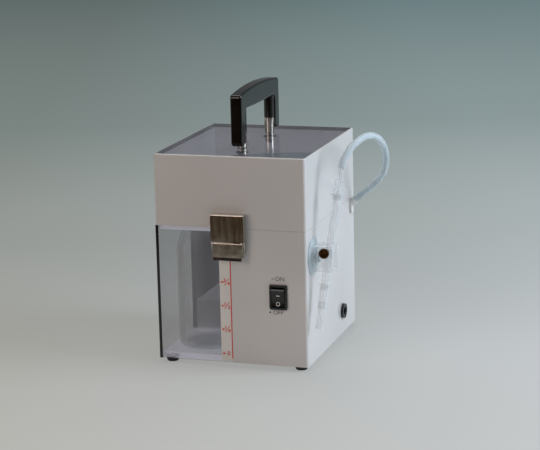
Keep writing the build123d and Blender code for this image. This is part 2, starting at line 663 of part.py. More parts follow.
barrel = ring_bar(on_hand(SLEEVE_TOP - 5.0), tuple(lean), HAND_R, HAND_BORE_R, barrel_top - SLEEVE_TOP + 5.0)
keep("handpiece_barrel", barrel)
sleeve_low = SLEEVE_TOP - SLEEVE_LONG
sleeve = rod(on_hand(sleeve_low), tuple(lean), SLEEVE_R, SLEEVE_LONG)
band = rod(on_hand(SLEEVE_TOP - 1.6), tuple(lean), SLEEVE_R + 0.7, 1.6)
sleeve += chamfer(band.edges().filter_by(GeomType.CIRCLE), 0.3)
sleeve -= rod(on_hand(SLEEVE_TOP - 5.0), tuple(lean), HAND_R, 6.0)
sleeve -= rod(on_hand(sleeve_low - 1), tuple(lean), HAND_BORE_R, SLEEVE_LONG)
sleeve -= rod(on_hand(sleeve_low - 1), tuple(lean), TIP_R, 7.0)
keep("handpiece_sleeve", sleeve)
tip = rod(on_hand(HAND_LOW), tuple(lean), TIP_R, sleeve_low + 6.0 - HAND_LOW)
tip -= rod(on_hand(HAND_LOW - 1), tuple(lean), 1.7, sleeve_low + 8.0 - HAND_LOW)
keep("handpiece_tip", tip)

# Wall holder: suction cup, U clamp, thumb screw
with BuildSketch(Plane.XY) as cup_section:
    with BuildLine():
        Polyline(
            (0, CUP_HOLLOW), (CUP_R * 0.55, CUP_HOLLOW), (CUP_R * 0.9, 0), (CUP_R, 0), (CUP_R, CUP_LIP_T),
            (CUP_R * 0.6, CUP_T), (0, CUP_T), close=True,
        )
    make_face()
cup_axis = Plane(origin=(RIGHT + SHEET_GAP, HOLDER_Y, HOLDER_Z), x_dir=(0, 1, 0), z_dir=(0, 0, -1))
cup = revolve(cup_axis * cup_section.sketch, Axis((RIGHT, HOLDER_Y, HOLDER_Z), (1, 0, 0)))
base_x = RIGHT + SHEET_GAP + CUP_T
cup += rod((base_x - 0.5, HOLDER_Y, HOLDER_Z), (1, 0, 0), STUD_R, CLAMP_T + 0.5)
cup += rod((base_x + CLAMP_T, HOLDER_Y, HOLDER_Z), (1, 0, 0), STUD_HEAD_R, STUD_HEAD_T)
keep("suction_cup", cup)
clamp_in0 = HOLDER_Y - CLAMP_GAP / 2
clamp_in1 = HOLDER_Y + CLAMP_GAP / 2
clamp_x1 = RIGHT + CLAMP_OUT
clamp = block(
    base_x, clamp_x1, clamp_in0 - CLAMP_T, clamp_in1 + CLAMP_T, HOLDER_Z - CLAMP_TALL / 2, HOLDER_Z + CLAMP_TALL / 2
)
clamp = fillet(clamp.edges().filter_by(Axis.Y), CLAMP_R)
clamp -= block(
    base_x + CLAMP_T, clamp_x1 + 1, clamp_in0, clamp_in1, HOLDER_Z - CLAMP_TALL, HOLDER_Z + CLAMP_TALL
)
clamp -= rod((base_x - 1, HOLDER_Y, HOLDER_Z), (1, 0, 0), STUD_R, CLAMP_T + 2)
clamp -= rod((THUMB_X, clamp_in0 - CLAMP_T - 1, THUMB_Z), (0, 1, 0), THUMB_SHANK_R + RUN_GAP, CLAMP_T + 2)
keep("holder_clamp", clamp)
thumb_face = clamp_in0 - CLAMP_T - SHEET_GAP
thumb = rod((THUMB_X, thumb_face - THUMB_HEAD_T, THUMB_Z), (0, 1, 0), THUMB_HEAD_R, THUMB_HEAD_T)
thumb = fillet(thumb.edges().filter_by(GeomType.CIRCLE).sort_by(Axis.Y)[0], 0.8)
knurl = Cylinder(0.35, THUMB_HEAD_T + 2, rotation=(90, 0, 0))
for k in range(24):
    turn = math.radians(15.0 * k)
    thumb -= Pos(
        THUMB_X + THUMB_HEAD_R * math.cos(turn), thumb_face - THUMB_HEAD_T / 2, THUMB_Z + THUMB_HEAD_R * math.sin(turn)
    ) * knurl
thumb += rod((THUMB_X, thumb_face, THUMB_Z), (0, 1, 0), THUMB_SHANK_R, SHEET_GAP + CLAMP_T + THUMB_REACH)
keep("holder_screw", thumb)

# Power jack and its ring nut
jack = rod((RIGHT + JACK_NUT_T - 0.4 - JACK_LONG - WALL, JACK_Y, JACK_Z), (1, 0, 0), JACK_HOLE_R, JACK_LONG + WALL)
jack += rod((IN_X - 2.0, JACK_Y, JACK_Z), (1, 0, 0), JACK_NUT_R + 0.6, 2.0)
jack_face = RIGHT + JACK_NUT_T - 0.4
jack -= rod((jack_face - JACK_BORE_DEEP, JACK_Y, JACK_Z), (1, 0, 0), JACK_BORE_R, JACK_BORE_DEEP + 1)
jack += rod((jack_face - JACK_BORE_DEEP - 0.5, JACK_Y, JACK_Z), (1, 0, 0), JACK_PIN_R, JACK_BORE_DEEP - 0.5)
keep("power_jack", jack)
jack_nut = ring_bar((RIGHT, JACK_Y, JACK_Z), (1, 0, 0), JACK_NUT_R, JACK_HOLE_R, JACK_NUT_T)
jack_nut = fillet(jack_nut.edges().filter_by(GeomType.CIRCLE).sort_by(Axis.X)[-1], 0.6)
keep("jack_nut", jack_nut)

# Rocker switch: bezel with its body behind the panel, and the rocker, resting at OFF
bezel = block(
    SWITCH_X - BEZEL_W / 2, SWITCH_X + BEZEL_W / 2, FRONT - BEZEL_T, FRONT,
    SWITCH_Z - BEZEL_H / 2, SWITCH_Z + BEZEL_H / 2,
)
bezel = fillet(bezel.edges().filter_by(Axis.Y), 1.2)
bezel = fillet(bezel.faces().sort_by(Axis.Y)[0].edges(), 0.5)
bezel += block(
    SWITCH_X - SWITCH_CUT_W / 2, SWITCH_X + SWITCH_CUT_W / 2, FRONT - 0.5, FRONT + SWITCH_DEEP,
    SWITCH_Z - SWITCH_CUT_H / 2, SWITCH_Z + SWITCH_CUT_H / 2,
)
pocket_w = ROCKER_W + 2 * ROCKER_GAP
pocket_h = ROCKER_H + 2 * ROCKER_GAP
bezel -= block(
    SWITCH_X - pocket_w / 2, SWITCH_X + pocket_w / 2, FRONT - BEZEL_T - 1, FRONT + 7.0,
    SWITCH_Z - pocket_h / 2, SWITCH_Z + pocket_h / 2,
)
for tz in (-6.0, 6.0):
    bezel += block(
        SWITCH_X - 2.4, SWITCH_X + 2.4, FRONT + SWITCH_DEEP - 0.1, FRONT + SWITCH_DEEP + 6.0,
        SWITCH_Z + tz - 0.4, SWITCH_Z + tz + 0.4,
    )
pivot_y = FRONT + ROCKER_PIVOT_IN
bezel -= rod((SWITCH_X - pocket_w / 2 - 1.0, pivot_y, SWITCH_Z), (1, 0, 0), 1.0 + RUN_GAP, pocket_w + 2.0)
keep("switch_body", bezel)
reach = FRONT - BEZEL_T - 1.1
rocker = block(SWITCH_X - ROCKER_W / 2, SWITCH_X + ROCKER_W / 2, reach, pivot_y + 2.0, SWITCH_Z - ROCKER_H / 2, SWITCH_Z + ROCKER_H / 2)
dish = rod((SWITCH_X - ROCKER_W, reach - ROCKER_ARC_R + 0.95, SWITCH_Z), (1, 0, 0), ROCKER_ARC_R, 2 * ROCKER_W)
rocker -= dish
drum = rod((SWITCH_X - ROCKER_W, pivot_y, SWITCH_Z), (1, 0, 0), ROCKER_H / 2, 2 * ROCKER_W)
rocker = rocker & drum
rocker = fillet(rocker.edges().filter_by(Axis.X).group_by(Axis.Y)[0], 0.4)
rocker += rod((SWITCH_X - ROCKER_W / 2 - 1.1, pivot_y, SWITCH_Z), (1, 0, 0), 1.0, ROCKER_W + 2.2)
rocker_axis = Axis((SWITCH_X, pivot_y, SWITCH_Z), (1, 0, 0))
keep("rocker_button", rocker.rotate(rocker_axis, ROCKER_TILT))

# Lid shell with the rabbet that carries its top window
lid_out = Pos(0, 0, LID_LOW) * extrude(RectangleRounded(CASE_W, CASE_D, CORNER_R), LID_TOP - LID_LOW)
lid_out = fillet(lid_out.faces().sort_by(Axis.Z)[-1].edges(), EDGE_R)
lid_shell = lid_out - block(-IN_X, IN_X, -IN_Y, IN_Y, LID_LOW - 1, LID_TOP + 1)
ledge_top = LID_TOP - TOP_T
plate_w = CASE_W - 2 * RIM_W
plate_d = CASE_D - 2 * RIM_W
plate_r = CORNER_R - RIM_W
lid_shell -= Pos(0, 0, ledge_top) * extrude(RectangleRounded(plate_w, plate_d, plate_r), TOP_T + 1)
upper_holes = [(sx * HINGE_X + dx, BODY_TOP + 10.5) for sx in (-1, 1) for dx in (-7.5, 7.5)]
for hx, hz in upper_holes:
    lid_shell -= rod((hx, IN_Y - 1, hz), (0, 1, 0), SMALL_SHANK_R, WALL + 2)
catch_holes = [(sx * 5.0, BODY_TOP + CATCH_LOW + 2.6) for sx in (-1, 1)]
for hx, hz in catch_holes:
    lid_shell -= rod((hx, FRONT - 1, hz), (0, 1, 0), SMALL_SHANK_R, WALL + 2)
keep("lid_shell", lid_shell)
plate = RectangleRounded(plate_w - 2 * TOP_GAP, plate_d - 2 * TOP_GAP, plate_r - TOP_GAP)
top_window = Pos(0, 0, ledge_top) * extrude(plate, TOP_T)
for py in (-POST_PITCH / 2, POST_PITCH / 2):
    top_window -= rod((0, py, ledge_top - 1), (0, 0, 1), POST_STUD_D / 2, TOP_T + 2)
keep("lid_window", top_window)

# Carrying handle: arched grip with a leg at each end and a boss over each post
leg_low = LID_TOP + LEG_GAP
end_top = LID_TOP + GRIP_END_H
under = LID_TOP + GRIP_UNDER_H
half = GRIP_LEN / 2
inner = half - LEG_T
with BuildSketch(Plane.YZ) as grip_side:
    with BuildLine():
        Line((-half, leg_low), (-half, end_top))
        ThreePointArc((-half, end_top), (0, end_top + GRIP_CROWN), (half, end_top))
        Polyline((half, end_top), (half, leg_low), (inner, leg_low + 1.4), (inner, under - 4.0))
        ThreePointArc((inner, under - 4.0), (inner - 1.6, under - 1.2), (inner - 5.5, under))
        ThreePointArc((inner - 5.5, under), (0, under - GRIP_UNDER_RISE), (-inner + 5.5, under))
        ThreePointArc((-inner + 5.5, under), (-inner + 1.6, under - 1.2), (-inner, under - 4.0))
        Polyline((-inner, under - 4.0), (-inner, leg_low + 1.4), (-half, leg_low))
    make_face()
    fillet([v for v in grip_side.vertices() if v.Z < leg_low + 0.1], 3.0)
    fillet([v for v in grip_side.vertices() if abs(v.Z - end_top) < 0.1], 2.6)
grip = extrude(grip_side.sketch, GRIP_W / 2, both=True)
post_top = LID_TOP + POST_SHOW
for py in (-POST_PITCH / 2, POST_PITCH / 2):
    grip += rod((0, py, post_top), (0, 0, 1), POST_D / 2 + 0.1, under - post_top + 2.0)
outer_edges = grip.edges().filter_by(
    lambda e: abs(abs(e.center().X) - GRIP_W / 2) < 0.01 and (e.center().Z > end_top - 2 or abs(e.center().Y) > half - 0.1)
)
grip = fillet(outer_edges, 1.6)
for py in (-POST_PITCH / 2, POST_PITCH / 2):
    grip -= rod((0, py, LID_TOP), (0, 0, 1), POST_D / 2, POST_SHOW)
    grip -= rod((0, py, post_top - 1), (0, 0, 1), POST_STUD_D / 2, POST_STUD_UP + 1)
keep("handle_grip", grip)
posts = []
washers = []
nuts = []
for py in (-POST_PITCH / 2, POST_PITCH / 2):
    post = rod((0, py, LID_TOP), (0, 0, 1), POST_D / 2, POST_SHOW)
    post = chamfer(post.edges().filter_by(GeomType.CIRCLE), 0.35)
    nut_low = ledge_top - HANDLE_WASHER_T - HANDLE_NUT_T - 1.5
    post += rod((0, py, nut_low), (0, 0, 1), POST_STUD_D / 2, post_top + POST_STUD_UP - nut_low)
    posts.append(post)
    washers.append(
        ring_bar((0, py, ledge_top - HANDLE_WASHER_T), (0, 0, 1), HANDLE_WASHER_D / 2, POST_STUD_D / 2, HANDLE_WASHER_T)
    )
    nuts.append(hex_nut((0, py, ledge_top - HANDLE_WASHER_T), (0, 0, -1), HANDLE_NUT_AF, POST_STUD_D / 2, HANDLE_NUT_T))
keep("handle_posts", group(posts))
keep("handle_washers", group(washers))
keep("handle_nuts", group(nuts))

# Hinges: two knuckles on each lower leaf, one on each upper leaf, a pin through all
third = HINGE_W / 3
lower_leaves = []
upper_leaves = []
pins = []
for sx in (-1, 1):
    x0 = sx * HINGE_X - HINGE_W / 2
    lower = block(x0, x0 + HINGE_W, BACK, BACK + HINGE_T, BODY_TOP - HINGE_LEAF, BODY_TOP - LEAF_GAP)
    upper = block(x0, x0 + HINGE_W, BACK, BACK + HINGE_T, BODY_TOP + LEAF_GAP, BODY_TOP + HINGE_LEAF)
    lower = fillet(lower.edges().filter_by(Axis.Y).group_by(Axis.Z)[0], 1.5)
    upper = fillet(upper.edges().filter_by(Axis.Y).group_by(Axis.Z)[-1], 1.5)
    for k in (0, 2):
        a, b = x0 + k * third, x0 + (k + 1) * third - (KNUCKLE_GAP if k == 0 else 0)
        a += KNUCKLE_GAP if k == 2 else 0
        lower += rod((a, HINGE_Y, BODY_TOP), (1, 0, 0), KNUCKLE_R, b - a)
        lower += block(a, b, HINGE_Y - KNUCKLE_R, HINGE_Y - KNUCKLE_R + HINGE_T, BODY_TOP - LEAF_GAP - 0.1, BODY_TOP)
    lower -= rod((x0 - 1, HINGE_Y, BODY_TOP), (1, 0, 0), HINGE_PIN_R, HINGE_W + 2)
    a, b = x0 + third, x0 + 2 * third
    upper += rod((a, HINGE_Y, BODY_TOP), (1, 0, 0), KNUCKLE_R, b - a)
    upper += block(a, b, HINGE_Y - KNUCKLE_R, HINGE_Y - KNUCKLE_R + HINGE_T, BODY_TOP, BODY_TOP + LEAF_GAP + 0.1)
    upper -= rod((x0 - 1, HINGE_Y, BODY_TOP), (1, 0, 0), HINGE_PIN_R + RUN_GAP, HINGE_W + 2)
    for hx, hz in lower_holes:
        lower -= rod((hx, BACK - 1, hz), (0, 1, 0), SMALL_SHANK_R, HINGE_T + 2)
    for hx, hz in upper_holes:
        upper -= rod((hx, BACK - 1, hz), (0, 1, 0), SMALL_SHANK_R, HINGE_T + 2)
    lower_leaves.append(lower)
    upper_leaves.append(upper)
    pins.append(rod((x0, HINGE_Y, BODY_TOP), (1, 0, 0), HINGE_PIN_R, HINGE_W))
keep("hinge_lower_leaves", group(lower_leaves))
keep("hinge_upper_leaves", group(upper_leaves))
keep("hinge_pins", group(pins))
keep("hinge_lower_screws", group([pan_screw((x, BACK + HINGE_T, z), (0, -1, 0), HINGE_T + WALL) for x, z in lower_holes]))
keep("hinge_upper_screws", group([pan_screw((x, BACK + HINGE_T, z), (0, -1, 0), HINGE_T + WALL) for x, z in upper_holes]))

# Draw latch: base plate with two ears, its pin, lever, link pin and hook plate
plate_y = FRONT - HINGE_T
latch_base = block(
    -EAR_HALF, EAR_HALF, plate_y, FRONT, BODY_TOP - LATCH_PLATE_LOW, BODY_TOP - LATCH_PLATE_TOP
)
for sx in (-1, 1):
    ear_x = min(sx * EAR_HALF, sx * (EAR_HALF - LATCH_T))
    ear = rod((ear_x, PIVOT_Y, PIVOT_Z), (1, 0, 0), EAR_R, LATCH_T)
    ear += block(ear_x, ear_x + LATCH_T, PIVOT_Y, plate_y + 0.2, PIVOT_Z - EAR_R, PIVOT_Z + EAR_R)
    latch_base += ear
latch_base -= rod((-20, PIVOT_Y, PIVOT_Z), (1, 0, 0), LATCH_PIN_R, 40)
for hx, hz in latch_holes:
    latch_base -= rod((hx, FRONT - 3, hz), (0, 1, 0), SMALL_SHANK_R, 6)
keep("latch_base", latch_base)
keep("latch_screws", group([pan_screw((x, plate_y, z), (0, 1, 0), HINGE_T + WALL, 2.0, 0.7) for x, z in latch_holes]))
keep("latch_pin", rod((-LEVER_HALF, PIVOT_Y, PIVOT_Z), (1, 0, 0), LATCH_PIN_R, 2 * LEVER_HALF))

# Lever: cover plate folded back into two cheeks, with a lip to pull at its foot
cover_y = FRONT - LATCH_OUT
lever_top = BODY_TOP - LEVER_TOP_DOWN
lever_low = BODY_TOP - LEVER_LOW_DOWN
with BuildSketch(Plane.YZ) as lever_side:
    with BuildLine():
        Polyline(
            (cover_y, lever_low + 2.5), (cover_y, lever_top), (PIVOT_Y, lever_top),
            (PIVOT_Y + 1.7, PIVOT_Z), (PIVOT_Y + 1.7, LINK_Z - 1.0), (cover_y + 2.6, lever_low + 2.5), close=True,
        )
    make_face()
lever = extrude(lever_side.sketch, LEVER_HALF, both=True)
lever = fillet(lever.edges().filter_by(Axis.X).sort_by(lambda e: (e.center() - Vector(0, cover_y, lever_top)).length)[0], 0.7)
lever -= block(
    -LEVER_HALF + LATCH_T, LEVER_HALF - LATCH_T, cover_y + LATCH_T, 0, lever_low - 1, lever_top + 1
)
with BuildSketch(Plane.YZ) as lip_side:
    with BuildLine():
        Polyline(
            (cover_y, lever_low + 2.5), (cover_y + LATCH_T, lever_low + 2.5), (cover_y + LATCH_T, lever_low + 1.7),
            (cover_y - LEVER_LIP + LATCH_T, lever_low), (cover_y - LEVER_LIP, lever_low + 0.3), close=True,
        )
    make_face()
lip = extrude(lip_side.sketch, LEVER_HALF - 0.8, both=True)
lever += lip
lever -= rod((-20, PIVOT_Y, PIVOT_Z), (1, 0, 0), LATCH_PIN_R + RUN_GAP, 40)
lever -= rod((-20, LINK_Y, LINK_Z), (1, 0, 0), LATCH_PIN_R, 40)
keep("latch_lever", lever)
keep("latch_link_pin", rod((-HOOK_HALF, LINK_Y, LINK_Z), (1, 0, 0), LATCH_PIN_R, 2 * HOOK_HALF))

# Hook plate: front plate, side flanges running down to the link pin, rolled top lip
hook_low = BODY_TOP - HOOK_LOW_DOWN
hook_top = BODY_TOP + HOOK_TOP_UP
flange_y = FRONT - 1.6
with BuildSketch(Plane.YZ) as hook_side:
    with BuildLine():
        Polyline(
            (cover_y, hook_low), (cover_y, hook_top), (flange_y, hook_top), (flange_y, hook_low + 2.0),
            (LINK_Y + 1.6, LINK_Z), (LINK_Y - 1.6, LINK_Z), (cover_y + 1.2, hook_low), close=True,
        )
    make_face()
hook = extrude(hook_side.sketch, HOOK_HALF, both=True)
hook += rod((-HOOK_HALF, LINK_Y, LINK_Z), (1, 0, 0), 1.6, 2 * HOOK_HALF)
crown = hook.edges().filter_by(Axis.X).sort_by(lambda e: (e.center() - Vector(0, cover_y, hook_top)).length)[0]
hook = fillet(crown, 0.8)
inside_x = HOOK_HALF - LATCH_T - 0.2
hook -= block(-inside_x, inside_x, cover_y + LATCH_T, FRONT + 10, LINK_Z - 5, hook_top - LATCH_T)
hook -= block(-inside_x, inside_x, cover_y + HOOK_LIP_IN + LATCH_T, FRONT + 10, LINK_Z - 5, hook_top + 5)
hook += block(
    -inside_x - 0.1, inside_x + 0.1, cover_y + HOOK_LIP_IN, cover_y + HOOK_LIP_IN + LATCH_T, hook_top - HOOK_LIP_H, hook_top
)
hook -= rod((-20, LINK_Y, LINK_Z), (1, 0, 0), LATCH_PIN_R + RUN_GAP, 40)
keep("latch_hook", hook)

# Catch on the lid: plate, shelf and upstanding lip
catch_low = BODY_TOP + CATCH_LOW
catch_top = BODY_TOP + CATCH_TOP
catch = block(-CATCH_HALF, CATCH_HALF, plate_y, FRONT, catch_low, catch_top)
catch += block(-CATCH_HALF, CATCH_HALF, FRONT - CATCH_OUT, plate_y, catch_top - LATCH_T, catch_top)
catch += block(
    -CATCH_HALF, CATCH_HALF, FRONT - CATCH_OUT, FRONT - CATCH_OUT + LATCH_T, catch_top - LATCH_T, catch_top + CATCH_LIP
)
for hx, hz in catch_holes:
    catch -= rod((hx, FRONT - 3, hz), (0, 1, 0), SMALL_SHANK_R, 6)
keep("latch_catch", catch)
keep("catch_screws", group([pan_screw((x, plate_y, z), (0, 1, 0), HINGE_T + WALL, 2.0, 0.7) for x, z in catch_holes]))

# Origin under the middle of the whole object, the hose left out, then write every sub-part
corners = [shape.bounding_box() for name, shape in made.items() if name != "hose"]
mid_x = (min(c.min.X for c in corners) + max(c.max.X for c in corners)) / 2
mid_y = (min(c.min.Y for c in corners) + max(c.max.Y for c in corners)) / 2
print("middle of the case to the origin", round(-mid_x, 3), round(-mid_y, 3))
for name, shape in made.items():
    export_step(Pos(-mid_x, -mid_y, 0) * shape, f"parts/{name}.step")
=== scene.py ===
import json
import math

import bpy
from mathutils import Matrix, Vector


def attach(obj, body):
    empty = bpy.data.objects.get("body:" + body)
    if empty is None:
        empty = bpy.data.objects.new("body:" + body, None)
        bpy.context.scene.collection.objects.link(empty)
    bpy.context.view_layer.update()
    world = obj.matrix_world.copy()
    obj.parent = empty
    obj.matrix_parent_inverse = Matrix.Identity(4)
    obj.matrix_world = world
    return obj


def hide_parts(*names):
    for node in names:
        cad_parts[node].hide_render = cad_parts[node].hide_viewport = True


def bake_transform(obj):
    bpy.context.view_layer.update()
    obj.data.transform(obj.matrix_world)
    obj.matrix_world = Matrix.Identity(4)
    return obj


bl_info = {
    "name": "Vacuum Aspirator Finishes",
    "version": (1, 0, 0),
    "blender": (4, 5, 0),
    "location": "View3D > Sidebar > Aspirator",
    "description": "Finishes, soft hose, printed marks and studio for a desktop vacuum aspirator",
    "category": "Object",
}

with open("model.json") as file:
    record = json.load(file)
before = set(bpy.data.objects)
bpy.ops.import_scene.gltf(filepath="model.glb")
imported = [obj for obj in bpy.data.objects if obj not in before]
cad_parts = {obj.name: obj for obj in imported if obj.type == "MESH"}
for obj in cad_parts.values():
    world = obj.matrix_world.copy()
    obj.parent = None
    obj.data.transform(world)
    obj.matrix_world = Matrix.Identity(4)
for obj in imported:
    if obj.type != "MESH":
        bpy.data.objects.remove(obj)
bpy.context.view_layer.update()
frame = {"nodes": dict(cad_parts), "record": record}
MM = 0.001
# The case's middle from the shared origin, in metres; places below are in millimetres from that middle
CASE_AT = Vector((-0.012187, 0.0023, 0.0))
FRONT = -75.0
STRIP_LEFT, STRIP_RIGHT, STRIP_LOW, STRIP_HIGH, STRIP_T = -10.0, -0.3, 5.2, 117.6, 0.09
LINE_LEFT, LINE_LOW, LINE_HIGH, INK_T = -0.9, 7.5, 93.5, 0.04
SCALE_MARKS = (("\u00be", 72.6, 1.35), ("\u00bd", 52.5, 1.35), ("\u00bc", 32.3, 1.35), ("0", 11.6, 0.9))
ARROW = ((-9.5, 0), (-7.4, -1.1), (-7.4, -0.25), (-6.0, -0.25), (-6.0, 0.25), (-7.4, 0.25), (-7.4, 1.1))
NUMBER_X = -3.7
SWITCH_WORDS = (("word_on", "ON", 41.9, 77.7, 6.2), ("word_off", "OFF", 40.0, 49.3, 7.0))
SWITCH_PIVOT = (40.5, -73.0, 62.6)
DASH = ((-1.0, -0.3), (1.0, -0.3), (1.0, 0.3), (-1.0, 0.3))
DOT_R, PRINT_T, SIZE_PER_HEIGHT = 0.8, 0.06, 1.4
ROCKER_REST = 7.0
DISH_AXIS_Y, DISH_R = -103.15, 26.0
BAR_HALF, BAR_LOW, BAR_T = 1.5, 1.7, 0.7
RING_DOWN, RING_OUT, RING_IN, MARK_LIFT = 4.9, 1.75, 1.2, 0.05
SPRING_AT = (4.2, -78.2, 106.5)

# Metres: just outside the walls' inner faces and just behind the left sheet's front end, from the
# case's middle; where the cells' warm band starts, from the shared origin; and the screw heads' sizes
INNER_HALF_X, INNER_HALF_Y, CUT_EDGE_Y = 0.0622, 0.0722, 0.0735
CELL_BAND_Y = 0.0483
HEAD_DEEP, HEAD_NEAR, RECESS_TURN = 0.0002, 0.0045, 0.6


# Small helpers
def colour(value, alpha=1.0):
    """An sRGB hex colour as linear values."""
    parts = [int(value[i:i + 2], 16) / 255 for i in (1, 3, 5)]
    return (*[c / 12.92 if c <= 0.04045 else ((c + 0.055) / 1.055) ** 2.4 for c in parts], alpha)


def add(tree, kind, into=None, **settings):
    """Adds a node: settings are its properties, and into gives its sockets a value or a link."""
    node = tree.nodes.new(kind)
    for key, value in settings.items():
        setattr(node, key, value)
    for key, value in (into or {}).items():
        if isinstance(value, bpy.types.NodeSocket):
            tree.links.new(value, node.inputs[key])
        else:
            node.inputs[key].default_value = value
    return node


def new_material(name):
    """An empty material and its output node."""
    material = bpy.data.materials.new(name)
    material.use_nodes = True
    tree = material.node_tree
    tree.nodes.clear()
    return material, tree, add(tree, "ShaderNodeOutputMaterial")


def patterned(tree, low, high, scale, detail=3.0, stretch=(1.0, 1.0, 1.0)):
    """Noise on Object coordinates, as a value between low and high."""
    place = add(tree, "ShaderNodeTexCoord")
    turn = add(tree, "ShaderNodeMapping", {"Vector": place.outputs["Object"], "Scale": stretch})
    noise = add(tree, "ShaderNodeTexNoise", {"Vector": turn.outputs[0], "Scale": scale, "Detail": detail})
    return add(tree, "ShaderNodeMapRange", {
        "Value": noise.outputs["Fac"], "From Min": 0.3, "From Max": 0.7, "To Min": low, "To Max": high})


def tone(tree, first, second, scale, detail=2.0, stretch=(1.0, 1.0, 1.0)):
    """Two colours mixed by a slow noise."""
    factor = patterned(tree, 0.0, 1.0, scale, detail, stretch)
    mix = add(tree, "ShaderNodeMix", data_type="RGBA")
    tree.links.new(factor.outputs[0], mix.inputs[0])
    mix.inputs[6].default_value = colour(first)
    mix.inputs[7].default_value = colour(second)
    return mix.outputs[2]


def grain(tree, scale, strength, distance, detail=2.0, stretch=(1.0, 1.0, 1.0)):
    """A bump from noise on Object coordinates."""
    height = patterned(tree, 0.0, 1.0, scale, detail, stretch)
    return add(tree, "ShaderNodeBump", {
        "Height": height.outputs[0], "Strength": strength, "Distance": distance}).outputs["Normal"]


def mesh_piece(name, verts, faces, material, body, smooth=False):
    """A finished mesh, given from the case's middle, riding a body."""
    data = bpy.data.meshes.new(name)
    data.from_pydata([tuple(Vector(v) + CASE_AT) for v in verts], [], faces)
    data.update()
    piece = bpy.data.objects.new(name, data)
    bpy.context.collection.objects.link(piece)
    return dress(piece, material, body, smooth)


def dress(piece, material, body, smooth=False):
    """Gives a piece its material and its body."""
    piece.data.materials.clear()
    piece.data.materials.append(material)
    for face in piece.data.polygons:
        face.use_smooth = smooth
    if body:
        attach(piece, body)
    return piece


def baked(thing, name):
    """A curve, text or node result as a plain mesh object."""
    graph = bpy.context.evaluated_depsgraph_get()
    graph.update()
    data = bpy.data.meshes.new_from_object(thing.evaluated_get(graph), depsgraph=graph)
    data.transform(thing.matrix_world)
    data.name = name
    bpy.data.objects.remove(thing, do_unlink=True)
    piece = bpy.data.objects.new(name, data)
    bpy.context.collection.objects.link(piece)
    return piece


def edged(tree, face, edge, blend=0.35):
    """How much a clear wall holds back: little seen square on, much along its edges."""
    weight = add(tree, "ShaderNodeLayerWeight", {"Blend": blend})
    return add(tree, "ShaderNodeMapRange", {
        "Value": weight.outputs["Facing"], "From Min": 0.0, "From Max": 0.9,
        "To Min": face, "To Max": edge}).outputs[0]


# Finishes
def principled(name, base, roughness, metallic=0.0, ior=1.5, normal=None, **more):
    """A one-shader material from values that were worked out for it."""
    material, tree, out = new_material(name)
    into = {"Roughness": roughness, "Metallic": metallic}
    if not metallic:
        into["IOR"] = ior
    for key, value in (("Base Color", base), ("Normal", normal)):
        if callable(value):
            into[key] = value(tree)
        elif value is not None:
            into[key] = colour(value)
    if callable(roughness):
        into["Roughness"] = roughness(tree)
    for key, value in more.items():
        into[key.replace("_", " ")] = value(tree) if callable(value) else value
    shader = add(tree, "ShaderNodeBsdfPrincipled", into)
    tree.links.new(shader.outputs[0], out.inputs["Surface"])
    return material


def painted_glow_inside(tree, strength):
    """Painted glow standing in for daylight that comes through the opal sheet: only on faces inside the
    case's four walls.
    """
    place = add(tree, "ShaderNodeTexCoord")
    from_middle = add(tree, "ShaderNodeVectorMath", {
        0: place.outputs["Object"], 1: tuple(CASE_AT)}, operation="SUBTRACT")
    flat = add(tree, "ShaderNodeVectorMath", {0: from_middle.outputs[0]}, operation="ABSOLUTE")
    parts = add(tree, "ShaderNodeSeparateXYZ", {"Vector": flat.outputs[0]})
    inside = [
        add(tree, "ShaderNodeMath", {0: parts.outputs[axis], 1: limit}, operation="LESS_THAN").outputs[0]
        for axis, limit in (("X", INNER_HALF_X), ("Y", INNER_HALF_Y))]
    both = add(tree, "ShaderNodeMath", {0: inside[0], 1: inside[1]}, operation="MULTIPLY")
    return add(tree, "ShaderNodeMath", {0: both.outputs[0], 1: strength}, operation="MULTIPLY").outputs[0]


def sheet_edge(tree):
    """One on the left sheet's front cut edge, where the smoke is seen along the sheet, zero elsewhere."""
    place = add(tree, "ShaderNodeTexCoord")
    parts = add(tree, "ShaderNodeSeparateXYZ", {"Vector": place.outputs["Object"]})
    inside = [
        add(tree, "ShaderNodeMath", {0: parts.outputs[axis], 1: limit}, operation="LESS_THAN").outputs[0]
        for axis, limit in (("X", CASE_AT.x - INNER_HALF_X), ("Y", CASE_AT.y - CUT_EDGE_Y))]
    return add(tree, "ShaderNodeMath", {0: inside[0], 1: inside[1]}, operation="MULTIPLY").outputs[0]


def smoke_base(tree, look):
    """The smoke's grey, near black along the cut edge."""
    mix = add(tree, "ShaderNodeMix", data_type="RGBA")
    tree.links.new(sheet_edge(tree), mix.inputs[0])
    tree.links.new(tone(tree, look.smoke_low, look.smoke_high, 7.0), mix.inputs[6])
    mix.inputs[7].default_value = colour("#17181c")
    return mix.outputs[2]


